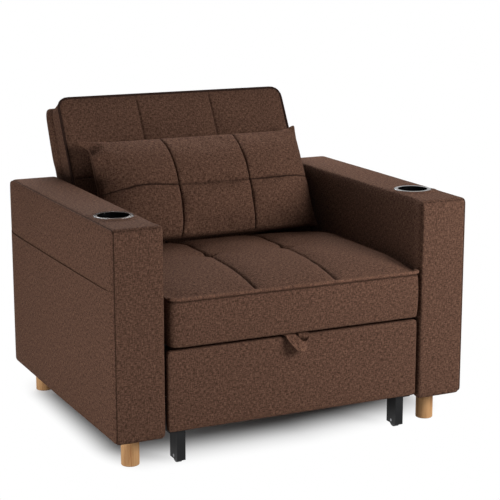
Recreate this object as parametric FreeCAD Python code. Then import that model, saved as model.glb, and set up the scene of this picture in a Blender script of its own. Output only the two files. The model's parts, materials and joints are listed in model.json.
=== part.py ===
import FreeCAD
import Part
import math
import os

# Millimetres. X runs across the chair, the front faces -Y, Z is up and the floor is at Z = 0.
# A depth is the distance behind the front plane of the arms.

# Arms
ARM_SPAN = 980.0
ARM_WIDTH = 126.0
ARM_LENGTH = 808.0
ARM_BOTTOM = 84.0
ARM_TOP = 610.0
ARM_FRONT_RADIUS = 28.0
ARM_REAR_RADIUS = 18.0
ARM_FOOT_RADIUS = 6.0
ARM_SEAM_RADIUS = 5.0
ARM_SIDE_PADDING = 12.0
ARM_TOP_PADDING = 22.0
ARM_FRONT_PADDING = 18.0
ARM_BOARD = 18.0
ARM_INNER_BOARD = 15.0
ARM_OUTER_BOARD = 6.0

# Side pockets
POCKET_THICKNESS = 2.5
POCKET_DROP = 152.0
POCKET_FOOT = 8.0
POCKET_MARGIN = 10.0
POCKET_RADIUS = 6.0

# Cup holders
CUP_DEPTH = 162.0
CUP_BORE_RADIUS = 39.5
CUP_WALL = 2.5
CUP_HEIGHT = 72.0
CUP_FLOOR = 3.0
CUP_FLANGE = 5.0
CUP_FLANGE_THICKNESS = 2.0
CUP_CLEARANCE = 0.3
RIM_RADIUS = 50.0
RIM_HEIGHT = 5.0
RIM_ROUND = 2.0

# Wooden legs
LEG_RADIUS = 23.0
LEG_FRONT_DEPTH = 77.0
LEG_REAR_INSET = 49.0
LEG_ROUND = 2.5
LEG_BOLT_RADIUS = 4.0
LEG_BOLT_IN_LEG = 40.0
LEG_BOLT_IN_ARM = 26.0

# Seat
SIDE_GAP = 10.6
SEAT_FRONT = -2.0
SEAT_TO_PIVOT = 69.0
SEAT_BOTTOM = 306.5
SEAT_BOXING = 119.5
SEAT_EDGE_RISE = 17.0
SEAT_CROWN_RISE = 36.0
SEAT_CROWN_START = 1.0
SEAT_CORNER = 14.0
SEAT_PLAN_RADIUS = 14.0
SEAT_DRAW_IN = 3.0
SEAT_FRAME_INSET = 15.0
SEAT_BAR_WIDTH = 42.0
SEAT_BAR_HEIGHT = 22.0
WEBBING_COUNT = 6
WEBBING_WIDTH = 60.0
WEBBING_THICKNESS = 2.5
WEBBING_OVERLAP = 26.0
ANGLE_THICKNESS = 3.0
ANGLE_DROP = 38.0
ANGLE_REACH = 46.0
ANGLE_START = 40.0
ANGLE_REAR_INSET = 29.0
SEAT_BOLT_RADIUS = 4.0
SEAT_BOLT_HEAD = 7.0
SEAT_BOLT_HEAD_HEIGHT = 4.0
SEAT_BOLT_INSET = 10.5
SEAT_BOLT_END_INSET = 80.0
SEAT_BOLT_GRIP = 17.0

# Stitched channels and tufts
SEAM_OFFSET = 114.0
SEAM_HALF_WIDTH = 9.0
SEAM_DEPTH = 7.0
SEAM_LIFT = 6.0
SEAM_MARGIN = 4.0
SEAM_STEPS = 14
PROBE = 2000.0
TRIM_MARGIN = 0.05
TUFT_RADIUS = 26.0
TUFT_POINT_RADIUS = 1.0
TUFT_DEPTH = 11.0
TUFT_DEPTH_POSITION = 300.0
CROWN_START = 2.0

# Back, lying flat: length along the back from the hinge, height over the hinge
LEAN = 29.0
PIVOT_INSET = 190.0
PIVOT_RISE = 79.5
BACK_SIDE_GAP = 13.5
BACK_TOP = 480.0
BACK_FOOT = -20.0
BACK_EDGE = 46.0
BACK_CROWN = 55.0
BACK_CORNER = 10.0
BACK_TOP_RADIUS = 30.0
BACK_FOOT_RADIUS = 8.0
BACK_PARTING = -20.0
BACK_PARTING_RADIUS = 1.0
BACK_DRAW_IN = 1.0
BACK_REAR_TOP = -66.0
BACK_REAR_LOW = -90.0
BACK_REAR_BREAK = 300.0
BACK_REAR_RADIUS = 12.0
BACK_TOP_OVERHANG = 7.0
BACK_WALL = 12.5
BACK_FRAME_DEPTH = 30.0
BACK_FRAME_BAR = 40.0
BACK_STILE = 24.0
BACK_FRAME_MARGIN = 25.0
BACK_ROW_SEAM = 237.0

# Hinges of the back
HINGE_PLATE = 4.0
HINGE_PLATE_FRONT = 43.0
HINGE_PLATE_REAR = 43.0
HINGE_PLATE_UP = 26.0
HINGE_PLATE_DOWN = 64.0
HINGE_PLATE_RADIUS = 12.0
HINGE_HUB_RADIUS = 30.0
HINGE_ARM = 4.5
HINGE_ARM_ROOT = 24.0
HINGE_ARM_TIP = 18.0
HINGE_ARM_LENGTH = 165.0
HINGE_HUB_GAP = 0.5
HINGE_PIN_RADIUS = 7.0
HINGE_BOLT_RADIUS = 4.0
HINGE_BOLT_HEAD = 7.0
HINGE_BOLT_HEAD_HEIGHT = 3.0
HINGE_BOLT_LENGTH = 26.0
HINGE_BOLT_PITCH = 52.0
HINGE_BOLT_INSET = 13.0
RUNNING_GAP = 0.05

# Pillow, lying on the flat back
PILLOW_FOOT = 16.0
PILLOW_TOP = 318.0
PILLOW_SIDE_GAP = 39.0
PILLOW_DRAW_IN = 13.0
PILLOW_REAR_SWELL = 57.0
PILLOW_FRONT_SWELL = 88.0
PILLOW_EDGE = 5.0
PILLOW_GAP = 0.4
PILLOW_SHOULDER = 95.0
PILLOW_SHOULDER_SHARE = 0.707
PILLOW_KNEE = 32.0
PILLOW_KNEE_SHARE = 0.6
PILLOW_SEAM_OFFSET = 112.0

# Front panel of the pull-out
PANEL_FRONT = 3.0
PANEL_REAR = 20.0
PANEL_BOTTOM = 91.5
PANEL_TOP_GAP = 8.5
PANEL_PADDING = 5.0
PANEL_RADIUS = 5.0
PANEL_FRONT_ROUND = 4.0

# Pull tab
TAB_PROUD = 4.0
TAB_HALF_WIDTH = 34.0
TAB_TIP_HALF_WIDTH = 14.0
TAB_DROP = 42.0
TAB_THICKNESS = 4.0
TAB_TIP_SHIFT = 14.0
TAB_RADIUS = 6.0
TAB_FOLD_RADIUS = 1.0

# Base of the pull-out
GUIDE_SPACE = 19.0
POST_WIDTH = 23.0
POST_LENGTH = 45.0
POST_BOTTOM = 10.0
POST_PAD_GAP = 5.0
POST_WALL = 3.0
RAIL_WIDTH = 20.0
RAIL_BOTTOM = 85.0
RAIL_HEIGHT = 35.0
RAIL_WALL = 2.0
RAIL_END_GAP = 11.0
CROSS_BAR_LENGTH = 25.0
CROSS_BAR_INSET = 40.0

# Rollers
FRONT_ROLLER_RADIUS = 18.0
FRONT_ROLLER_WIDTH = 14.0
REAR_ROLLER_RADIUS = 26.0
REAR_ROLLER_WIDTH = 12.0
REAR_ROLLER_INSET = 81.0
ROLLER_ROUND = 2.0
AXLE_RADIUS = 4.0
FORK_WALL = 3.0
FORK_LENGTH = 24.0
FORK_TOP_LENGTH = 40.0
FORK_BOTTOM = 15.0

# Guides of the pull-out
RUNNER_START = 25.0
RUNNER_END_GAP = 4.0
RUNNER_BOTTOM = 128.0
RUNNER_HEIGHT = 32.0
RUNNER_REACH = 12.0
RUNNER_WEB = 3.0
RUNNER_FLANGE = 2.0
SHOE_LENGTH = 35.0
SHOE_GAP = 0.4
SHOE_BRACKET = 3.0
SHOE_BRACKET_BOTTOM = 95.0

# Pad of the pull-out and its links
PAD_FRONT = 44.0
PAD_REAR_GAP = 69.0
PAD_SIDE_GAP = 14.0
PAD_BOTTOM = 170.0
PAD_TOP_GAP = 19.5
PAD_CROWN_RISE = 11.0
PAD_DRAW_IN = 3.0
PAD_FRAME_INSET = 15.0
PAD_BAR_WIDTH = 32.0
PAD_BAR_HEIGHT = 15.0
PAD_BOARD = 6.0
PAD_TUFT_SHARES = (0.33, 0.67)
LINK_FRONT_DEPTH = 86.0
LINK_REAR_INSET = 28.0
LINK_END_GAP = 27.0
LINK_RAIL_RISE = 20.0
LINK_PAD_DROP = 14.0
LINK_RADIUS = 12.0
LINK_THICKNESS = 4.0
LINK_PIN_RADIUS = 5.0
LINK_PIN_HEAD = 8.0
LINK_PIN_HEAD_HEIGHT = 3.0

# Rear board between the arms
REAR_BOARD_INSET = 6.0
REAR_BOARD_THICKNESS = 16.0
REAR_BOARD_FOOT = 8.0
REAR_BOARD_DROP = 3.0

# Profiles of the padded pieces from end to end: share of the run, share of the draw-in, share of the crown,
# where the pillow has a share of its front swell and one of its rear swell
SEAT_PROFILE = ((0.0, 0.0, -0.25), (0.025, 0.0, 0.15), (0.12, 0.4, 0.5), (0.34, 1.0, 0.9),
                (0.6, 1.0, 1.0), (0.84, 0.6, 0.96), (1.0, 0.0, 0.5))
BACK_PROFILE = ((0.0, 0.0, 0.0), (0.03, 0.0, 0.4), (0.2, 0.6, 0.9), (0.5, 1.0, 1.0),
                (0.85, 0.6, 0.85), (0.97, 0.0, 0.4), (1.0, 0.0, 0.0))
PILLOW_PROFILE = ((0.0, 0.2, 0.45, 0.12), (0.05, 0.0, 0.68, 0.42), (0.17, 0.3, 0.9, 0.78), (0.5, 1.0, 1.0, 1.0),
                  (0.83, 0.3, 0.8, 0.78), (0.95, 0.0, 0.45, 0.42), (1.0, 0.2, 0.12, 0.12))
PAD_PROFILE = ((0.0, 0.0, 0.0), (0.03, 0.0, 0.4), (0.2, 0.6, 0.9), (0.5, 1.0, 1.0),
               (0.8, 0.6, 0.9), (0.97, 0.0, 0.4), (1.0, 0.0, 0.0))

ORIGIN = FreeCAD.Vector(0, 0, 0)
ACROSS = FreeCAD.Vector(1, 0, 0)
ALONG = FreeCAD.Vector(0, 1, 0)
UP = FreeCAD.Vector(0, 0, 1)

half_span = ARM_SPAN / 2
arm_inner = half_span - ARM_WIDTH
arm_middle = half_span - ARM_WIDTH / 2
seat_half = arm_inner - SIDE_GAP
back_half = arm_inner - BACK_SIDE_GAP
pillow_half = arm_inner - PILLOW_SIDE_GAP
pad_half = arm_inner - PAD_SIDE_GAP
lean_sine = math.sin(math.radians(LEAN))
lean_cosine = math.cos(math.radians(LEAN))
pivot_depth = ARM_LENGTH - PIVOT_INSET
pivot_height = SEAT_BOTTOM + PIVOT_RISE
seat_rear = pivot_depth - SEAT_TO_PIVOT
seat_welt = SEAT_BOTTOM + SEAT_BOXING
panel_top = SEAT_BOTTOM - PANEL_TOP_GAP
pad_top = SEAT_BOTTOM - PAD_TOP_GAP
board_rear_depth = ARM_LENGTH - REAR_BOARD_INSET
board_front_depth = board_rear_depth - REAR_BOARD_THICKNESS
rail_rear_depth = board_front_depth - RAIL_END_GAP
rear_depth = pivot_depth + (BACK_TOP + BACK_TOP_OVERHANG) * lean_sine - BACK_REAR_TOP * lean_cosine
tab_front = PANEL_FRONT - TAB_THICKNESS - TAB_PROUD
front_most = min(tab_front, SEAT_FRONT)
front = -(rear_depth + front_most) / 2


def at(depth):
    """Y of a depth behind the front plane of the arms."""
    return front + depth


def box(x0, x1, y0, y1, z0, z1):
    """Block between two corners."""
    return Part.makeBox(x1 - x0, y1 - y0, z1 - z0, FreeCAD.Vector(x0, y0, z0))


def rod(start, radius, length, axis):
    """Round rod from its start point along an axis."""
    return Part.makeCylinder(radius, length, start, axis)


def mirrored(shape):
    """The same piece on the other side of the chair."""
    return shape.mirror(ORIGIN, ACROSS)


def in_yz(x):
    """Map of outline points (y, z) into the plane at x."""
    return lambda a, b: FreeCAD.Vector(x, a, b)


def in_xz(y):
    """Map of outline points (x, z) into the plane at y."""
    return lambda a, b: FreeCAD.Vector(a, y, b)


def in_xy(z):
    """Map of outline points (x, y) into the plane at z."""
    return lambda a, b: FreeCAD.Vector(a, b, z)


def rounded_face(corners, place):
    """Face inside a polygon whose corners (a, b, radius) are rounded."""
    points = [place(a, b) for a, b, radius in corners]
    count = len(points)
    cuts = []
    for index, point in enumerate(points):
        radius = corners[index][2]
        to_last = (points[index - 1] - point).normalize()
        to_next = (points[(index + 1) % count] - point).normalize()
        half_angle = to_last.getAngle(to_next) / 2
        run = radius / math.tan(half_angle)
        middle = (to_last + to_next).normalize()
        inset = radius / math.sin(half_angle) - radius
        cuts.append((point + to_last * run, point + middle * inset, point + to_next * run))
    edges = []
    for index, cut in enumerate(cuts):
        following = cuts[(index + 1) % count]
        edges.append(Part.Arc(cut[0], cut[1], cut[2]).toShape())
        edges.append(Part.LineSegment(cut[2], following[0]).toShape())
    return Part.Face(Part.Wire(edges))


def bar_face(x, start, end, start_radius, end_radius):
    """Face of a flat bar in the plane at x, between two round ends given as (y, z)."""
    a = FreeCAD.Vector(x, start[0], start[1])
    b = FreeCAD.Vector(x, end[0], end[1])
    run = (b - a).normalize()
    side = ACROSS.cross(run)
    lean = (start_radius - end_radius) / a.distanceToPoint(b)
    rise = math.sqrt(1 - lean * lean)
    upper = run * lean + side * rise
    lower = run * lean - side * rise
    edges = [
        Part.LineSegment(a + upper * start_radius, b + upper * end_radius).toShape(),
        Part.Arc(b + upper * end_radius, b + run * end_radius, b + lower * end_radius).toShape(),
        Part.LineSegment(b + lower * end_radius, a + lower * start_radius).toShape(),
        Part.Arc(a + lower * start_radius, a - run * start_radius, a + upper * start_radius).toShape(),
    ]
    return Part.Face(Part.Wire(edges))


def filleted(shape, radius, wanted):
    """Shape with the edges rounded for which wanted(edge) holds."""
    edges = [edge for edge in shape.Edges if wanted(edge)]
    return shape.makeFillet(radius, edges)


def boxed_section(y, half, base, edge, crown, corner):
    """Cross-section of a boxed cushion: flat base, upright sides, crowned top."""
    shift = corner * (1 - math.sqrt(0.5))
    foot_left = FreeCAD.Vector(-half, y, base)
    foot_right = FreeCAD.Vector(half, y, base)
    side_right = FreeCAD.Vector(half, y, edge - corner)
    top_right = FreeCAD.Vector(half - corner, y, edge)
    top_left = FreeCAD.Vector(corner - half, y, edge)
    side_left = FreeCAD.Vector(-half, y, edge - corner)
    knee_right = FreeCAD.Vector(half - shift, y, edge - shift)
    knee_left = FreeCAD.Vector(shift - half, y, edge - shift)
    return Part.Wire([
        Part.LineSegment(foot_left, foot_right).toShape(),
        Part.LineSegment(foot_right, side_right).toShape(),
        Part.Arc(side_right, knee_right, top_right).toShape(),
        Part.Arc(top_right, FreeCAD.Vector(0, y, crown), top_left).toShape(),
        Part.Arc(top_left, knee_left, side_left).toShape(),
        Part.LineSegment(side_left, foot_left).toShape(),
    ])


def pillow_section(y, half, middle, front_rise, rear_rise, edge, shoulder):
    """Cross-section of a knife-edged pillow: full middle, thin ends."""
    bend = half - PILLOW_KNEE

    def half_outline(sign, rise):
        full = edge + (rise - edge) * PILLOW_SHOULDER_SHARE
        knee = edge + (full - edge) * PILLOW_KNEE_SHARE
        tip_right = FreeCAD.Vector(half, y, middle + sign * edge)
        knee_right = FreeCAD.Vector(bend, y, middle + sign * knee)
        flat_right = FreeCAD.Vector(half - shoulder, y, middle + sign * full)
        top = FreeCAD.Vector(0, y, middle + sign * rise)
        flat_left = FreeCAD.Vector(shoulder - half, y, middle + sign * full)
        knee_left = FreeCAD.Vector(-bend, y, middle + sign * knee)
        tip_left = FreeCAD.Vector(-half, y, middle + sign * edge)
        return tip_right, knee_right, flat_right, top, flat_left, knee_left, tip_left

    upper = half_outline(1, front_rise)
    lower = half_outline(-1, rear_rise)
    return Part.Wire([
        Part.LineSegment(lower[0], upper[0]).toShape(),
        Part.Arc(upper[0], upper[1], upper[2]).toShape(),
        Part.Arc(upper[2], upper[3], upper[4]).toShape(),
        Part.Arc(upper[4], upper[5], upper[6]).toShape(),
        Part.LineSegment(upper[6], lower[6]).toShape(),
        Part.Arc(lower[6], lower[5], lower[4]).toShape(),
        Part.Arc(lower[4], lower[3], lower[2]).toShape(),
        Part.Arc(lower[2], lower[1], lower[0]).toShape(),
    ])


def channel(points, side, half_width, depth, lift, up):
    """Wedge that cuts a stitched channel along points on a surface."""
    wires = []
    for point in points:
        bottom = point - up * depth
        left = point - side * half_width + up * lift
        right = point + side * half_width + up * lift
        wires.append(Part.makePolygon([bottom, left, right, bottom]))
    return Part.makeLoft(wires, True, True)


def surface_point(body, x, y, up):
    """Point where a body's skin ends above or below (x, y)."""
    probe = Part.makeLine(FreeCAD.Vector(x, y, -PROBE), FreeCAD.Vector(x, y, PROBE))
    heights = [pair[0].z for pair in body.Shells[0].distToShape(probe)[1]]
    height = max(heights) if up.z > 0 else min(heights)
    return FreeCAD.Vector(x, y, height)


def seam_channel(body, start, end, up):
    """Channel over a body's skin between two plan points (x, y)."""
    points = []
    for step in range(SEAM_STEPS + 1):
        share = step / SEAM_STEPS
        x = start[0] + (end[0] - start[0]) * share
        y = start[1] + (end[1] - start[1]) * share
        points.append(surface_point(body, x, y, up))
    run = FreeCAD.Vector(end[0] - start[0], end[1] - start[1], 0).normalize()
    return channel(points, UP.cross(run), SEAM_HALF_WIDTH, SEAM_DEPTH, SEAM_LIFT, up)


def tuft(body, x, y):
    """Cone that cuts a sewn tuft into a cushion top."""
    start = surface_point(body, x, y, UP) - UP * TUFT_DEPTH
    return Part.makeCone(TUFT_POINT_RADIUS, TUFT_RADIUS, TUFT_DEPTH + SEAM_LIFT, start, UP)


def boxed_cushion(stations, base, corner, outline):
    """Boxed cushion lofted through its stations and trimmed to its plan outline."""
    wires = [boxed_section(y, half, base, edge, crown, corner) for y, half, edge, crown in stations]
    body = Part.makeLoft(wires, True, False)
    return body.common(outline)


def corner_trim(half, y0, y1, near_radius, far_radius):
    """Tall block that rounds a cushion's four corners in plan, just clear of its flat sides."""
    x = half + TRIM_MARGIN
    near = y0 - TRIM_MARGIN
    far = y1 + TRIM_MARGIN
    plan = [(-x, near, near_radius), (x, near, near_radius), (x, far, far_radius), (-x, far, far_radius)]
    return rounded_face(plan, in_xy(-PROBE)).extrude(UP * 2 * PROBE)


def leaned(shape):
    """A piece of the back, drawn lying flat at the origin, set up on its hinge."""
    placed = shape.copy()
    placed.rotate(ORIGIN, ACROSS, 90.0 - LEAN)
    placed.translate(FreeCAD.Vector(0, at(pivot_depth), pivot_height))
    return placed


def bolt(start, axis, radius, length, head, head_height):
    """Bolt whose head starts at a point and whose shank runs along the axis."""
    shank = rod(start, radius, head_height + length, axis)
    cap = rod(start, head, head_height, axis)
    return shank.fuse(cap).removeSplitter()


def without(shape, cutters):
    """Shape with the cutters taken out."""
    return shape.cut(Part.makeCompound(cutters))


nodes = {}

# Legs, hanger bolts and positions of the cup holders
leg_places = {"front": at(LEG_FRONT_DEPTH), "rear": at(ARM_LENGTH - LEG_REAR_INSET)}
leg_bolts = []
left_leg_bolts = []
for end, y in leg_places.items():
    start = FreeCAD.Vector(-arm_middle, y, ARM_BOTTOM - LEG_BOLT_IN_LEG)
    stud = rod(start, LEG_BOLT_RADIUS, LEG_BOLT_IN_LEG + LEG_BOLT_IN_ARM, UP)
    left_leg_bolts.append(stud)
    leg_bolts.append(stud)
    leg_bolts.append(mirrored(stud))
    leg = rod(FreeCAD.Vector(-arm_middle, y, 0), LEG_RADIUS, ARM_BOTTOM, UP)
    leg = filleted(leg, LEG_ROUND, lambda edge: edge.BoundBox.ZMax < LEG_ROUND)
    leg = leg.cut(stud)
    nodes["left_" + end + "_leg"] = leg
    nodes["right_" + end + "_leg"] = mirrored(leg)
nodes["leg_bolts"] = Part.makeCompound(leg_bolts)

# Hinge plates on the arms, their pins and bolts
pivot_y = at(pivot_depth)
plate_corners = [
    (pivot_y - HINGE_PLATE_FRONT, pivot_height - HINGE_PLATE_DOWN, HINGE_PLATE_RADIUS),
    (pivot_y + HINGE_PLATE_REAR, pivot_height - HINGE_PLATE_DOWN, HINGE_PLATE_RADIUS),
    (pivot_y + HINGE_PLATE_REAR, pivot_height + HINGE_PLATE_UP, HINGE_PLATE_RADIUS),
    (pivot_y - HINGE_PLATE_FRONT, pivot_height + HINGE_PLATE_UP, HINGE_PLATE_RADIUS),
]
hub_height = arm_inner - HINGE_PLATE - back_half - HINGE_ARM - HINGE_HUB_GAP
hinge_plate = rounded_face(plate_corners, in_yz(-arm_inner)).extrude(ACROSS * HINGE_PLATE)
hub_start = FreeCAD.Vector(HINGE_PLATE - arm_inner, pivot_y, pivot_height)
hinge_plate = hinge_plate.fuse(rod(hub_start, HINGE_HUB_RADIUS, hub_height, ACROSS)).removeSplitter()
pin_start = FreeCAD.Vector(-arm_inner, pivot_y, pivot_height)
hinge_pin = rod(pin_start, HINGE_PIN_RADIUS, arm_inner - back_half - HINGE_HUB_GAP, ACROSS)
hinge_plate = hinge_plate.cut(hinge_pin)
plate_bolts = []
for shift in (-HINGE_BOLT_PITCH / 2, HINGE_BOLT_PITCH / 2):
    head_x = HINGE_PLATE + HINGE_BOLT_HEAD_HEIGHT - arm_inner
    bolt_z = pivot_height - HINGE_PLATE_DOWN + HINGE_BOLT_INSET
    start = FreeCAD.Vector(head_x, pivot_y + shift, bolt_z)
    reach = HINGE_PLATE + HINGE_BOLT_LENGTH
    plate_bolts.append(bolt(start, -ACROSS, HINGE_BOLT_RADIUS, reach, HINGE_BOLT_HEAD,
                            HINGE_BOLT_HEAD_HEIGHT))
hinge_plate = without(hinge_plate, plate_bolts)
nodes["left_hinge_plate"] = hinge_plate
nodes["right_hinge_plate"] = mirrored(hinge_plate)
nodes["left_hinge_pin"] = hinge_pin
nodes["right_hinge_pin"] = mirrored(hinge_pin)
nodes["hinge_plate_bolts"] = Part.makeCompound(plate_bolts + [mirrored(item) for item in plate_bolts])

# Seat angles on the arms and their bolts
angle_end = seat_rear - ANGLE_REAR_INSET
angle_wall = box(-arm_inner, ANGLE_THICKNESS - arm_inner, at(ANGLE_START), at(angle_end),
                 SEAT_BOTTOM - ANGLE_DROP, SEAT_BOTTOM)
angle_shelf = box(-arm_inner, ANGLE_REACH - arm_inner, at(ANGLE_START), at(angle_end),
                  SEAT_BOTTOM - ANGLE_THICKNESS, SEAT_BOTTOM)
seat_angle = angle_wall.fuse(angle_shelf).removeSplitter()
wall_bolts = []
shelf_bolts = []
for y in (at(ANGLE_START + SEAT_BOLT_END_INSET), at(angle_end - SEAT_BOLT_END_INSET)):
    start = FreeCAD.Vector(ANGLE_THICKNESS + SEAT_BOLT_HEAD_HEIGHT - arm_inner, y,
                           SEAT_BOTTOM - ANGLE_DROP / 2)
    reach = ANGLE_THICKNESS + ARM_SIDE_PADDING + ARM_INNER_BOARD
    wall_bolts.append(bolt(start, -ACROSS, SEAT_BOLT_RADIUS, reach, SEAT_BOLT_HEAD, SEAT_BOLT_HEAD_HEIGHT))
    start = FreeCAD.Vector(ANGLE_REACH - arm_inner - SEAT_BOLT_INSET, y,
                           SEAT_BOTTOM - ANGLE_THICKNESS - SEAT_BOLT_HEAD_HEIGHT)
    reach = ANGLE_THICKNESS + SEAT_BOLT_GRIP
    shelf_bolts.append(bolt(start, UP, SEAT_BOLT_RADIUS, reach, SEAT_BOLT_HEAD, SEAT_BOLT_HEAD_HEIGHT))
seat_bolts = wall_bolts + shelf_bolts
seat_angle = without(seat_angle, seat_bolts)
nodes["left_seat_angle"] = seat_angle
nodes["right_seat_angle"] = mirrored(seat_angle)
nodes["seat_bolts"] = Part.makeCompound(seat_bolts + [mirrored(item) for item in seat_bolts])

# Arms: box frame of boards, padded cover, side pocket, cup holder
arm_corners = [
    (at(0), ARM_BOTTOM, ARM_FOOT_RADIUS),
    (at(ARM_LENGTH), ARM_BOTTOM, ARM_FOOT_RADIUS),
    (at(ARM_LENGTH), ARM_TOP, ARM_REAR_RADIUS),
    (at(0), ARM_TOP, ARM_FRONT_RADIUS),
]
arm_block = rounded_face(arm_corners, in_yz(-half_span)).extrude(ACROSS * ARM_WIDTH)
arm_block = filleted(arm_block, ARM_SEAM_RADIUS, lambda edge: edge.BoundBox.XLength < RUNNING_GAP)
frame_x0 = ARM_SIDE_PADDING - half_span
frame_x1 = -arm_inner - ARM_SIDE_PADDING
frame_y0 = at(ARM_FRONT_PADDING)
frame_y1 = at(ARM_LENGTH - ARM_SIDE_PADDING)
frame_top = ARM_TOP - ARM_TOP_PADDING
cavity = box(frame_x0, frame_x1, frame_y0, frame_y1, ARM_BOTTOM - ARM_FOOT_RADIUS, frame_top)
cup_place = FreeCAD.Vector(-arm_middle, at(CUP_DEPTH), ARM_TOP)
liner_radius = CUP_BORE_RADIUS + CUP_WALL
well = rod(cup_place - UP * (CUP_HEIGHT + CUP_CLEARANCE), liner_radius + CUP_CLEARANCE,
           CUP_HEIGHT * 2, UP)
arm_cover = without(arm_block, [cavity, well] + plate_bolts + wall_bolts)
board_low = ARM_BOTTOM + ARM_BOARD
board_high = frame_top - ARM_BOARD
side_y0 = frame_y0 + ARM_BOARD
side_y1 = frame_y1 - ARM_BOARD
boards = [
    box(frame_x0, frame_x1, frame_y0, frame_y1, ARM_BOTTOM, board_low),
    box(frame_x0, frame_x1, frame_y0, frame_y1, board_high, frame_top),
    box(frame_x0, frame_x1, frame_y0, side_y0, board_low, board_high),
    box(frame_x0, frame_x1, side_y1, frame_y1, board_low, board_high),
    box(frame_x0, frame_x0 + ARM_OUTER_BOARD, side_y0, side_y1, board_low, board_high),
    box(frame_x1 - ARM_INNER_BOARD, frame_x1, side_y0, side_y1, board_low, board_high),
]
frame_cutters = [well] + plate_bolts + wall_bolts + left_leg_bolts
arm_frame = Part.makeCompound([without(board, frame_cutters) for board in boards])
pocket_corners = [
    (at(POCKET_MARGIN), ARM_BOTTOM + POCKET_FOOT, POCKET_RADIUS),
    (at(ARM_LENGTH - POCKET_MARGIN), ARM_BOTTOM + POCKET_FOOT, POCKET_RADIUS),
    (at(ARM_LENGTH - POCKET_MARGIN), ARM_TOP - POCKET_DROP, POCKET_RADIUS),
    (at(POCKET_MARGIN), ARM_TOP - POCKET_DROP, POCKET_RADIUS),
]
side_pocket = rounded_face(pocket_corners, in_yz(-half_span)).extrude(ACROSS * -POCKET_THICKNESS)
liner = rod(cup_place - UP * CUP_HEIGHT, liner_radius, CUP_HEIGHT, UP)
liner = liner.fuse(rod(cup_place, liner_radius + CUP_FLANGE, CUP_FLANGE_THICKNESS, UP)).removeSplitter()
liner = liner.cut(rod(cup_place - UP * (CUP_HEIGHT - CUP_FLOOR), CUP_BORE_RADIUS, CUP_HEIGHT * 2, UP))
rim = rod(cup_place, RIM_RADIUS, RIM_HEIGHT, UP)
rim = filleted(rim, RIM_ROUND, lambda edge: edge.BoundBox.ZMin > ARM_TOP + RIM_ROUND)
rim = rim.cut(rod(cup_place, liner_radius + CUP_FLANGE, CUP_FLANGE_THICKNESS, UP))
rim = rim.cut(rod(cup_place, CUP_BORE_RADIUS, RIM_HEIGHT, UP))
for name, shape in (("arm_cover", arm_cover), ("arm_frame", arm_frame), ("side_pocket", side_pocket),
                    ("cup_liner", liner), ("cup_rim", rim)):
    nodes["left_" + name] = shape
    nodes["right_" + name] = mirrored(shape)

# Rear board between the arms
nodes["rear_board"] = box(-arm_inner, arm_inner, at(board_front_depth), at(board_rear_depth),
                          ARM_BOTTOM + REAR_BOARD_FOOT, pad_top - REAR_BOARD_DROP)

# Seat frame, webbing and cushion
seat_x = seat_half - SEAT_FRAME_INSET
seat_y0 = at(SEAT_FRONT + SEAT_FRAME_INSET)
seat_y1 = at(seat_rear - SEAT_FRAME_INSET)
bar_top = SEAT_BOTTOM + SEAT_BAR_HEIGHT
bar_x = seat_x - SEAT_BAR_WIDTH
seat_bars = [
    box(-seat_x, seat_x, seat_y0, seat_y0 + SEAT_BAR_WIDTH, SEAT_BOTTOM, bar_top),
    box(-seat_x, seat_x, seat_y1 - SEAT_BAR_WIDTH, seat_y1, SEAT_BOTTOM, bar_top),
    box(-seat_x, -bar_x, seat_y0 + SEAT_BAR_WIDTH, seat_y1 - SEAT_BAR_WIDTH, SEAT_BOTTOM, bar_top),
    box(bar_x, seat_x, seat_y0 + SEAT_BAR_WIDTH, seat_y1 - SEAT_BAR_WIDTH, SEAT_BOTTOM, bar_top),
]
all_shelf_bolts = shelf_bolts + [mirrored(item) for item in shelf_bolts]
nodes["seat_frame"] = Part.makeCompound([without(bar, all_shelf_bolts) for bar in seat_bars])
straps = []
strap_pitch = 2 * bar_x / WEBBING_COUNT
for index in range(WEBBING_COUNT):
    middle = strap_pitch * (index + 0.5) - bar_x
    straps.append(box(middle - WEBBING_WIDTH / 2, middle + WEBBING_WIDTH / 2,
                      seat_y0 + SEAT_BAR_WIDTH - WEBBING_OVERLAP, seat_y1 - SEAT_BAR_WIDTH + WEBBING_OVERLAP,
                      bar_top, bar_top + WEBBING_THICKNESS))
nodes["seat_webbing"] = Part.makeCompound(straps)
seat_run = seat_rear - SEAT_FRONT
seat_stations = []
for share, draw, rise in SEAT_PROFILE:
    edge = seat_welt + SEAT_EDGE_RISE * rise
    crown = seat_welt + SEAT_CROWN_START + SEAT_CROWN_RISE * rise
    seat_stations.append((at(SEAT_FRONT + seat_run * share), seat_half - SEAT_DRAW_IN * draw, edge, crown))
seat_limit = corner_trim(seat_half, at(SEAT_FRONT), at(seat_rear), SEAT_PLAN_RADIUS, SEAT_PLAN_RADIUS)
seat_cushion = boxed_cushion(seat_stations, SEAT_BOTTOM, SEAT_CORNER, seat_limit)
seat_recess = box(-seat_x, seat_x, seat_y0, seat_y1, 0, bar_top + WEBBING_THICKNESS)
seat_cutters = [seat_recess]
seat_ends = (at(SEAT_FRONT + SEAM_MARGIN), at(seat_rear - SEAM_MARGIN))
for x in (-SEAM_OFFSET, SEAM_OFFSET):
    seat_cutters.append(seam_channel(seat_cushion, (x, seat_ends[0]), (x, seat_ends[1]), UP))
    seat_cutters.append(tuft(seat_cushion, x, at(TUFT_DEPTH_POSITION)))
for cutter in seat_cutters:
    seat_cushion = seat_cushion.cut(cutter)
nodes["seat_cushion"] = seat_cushion

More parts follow.
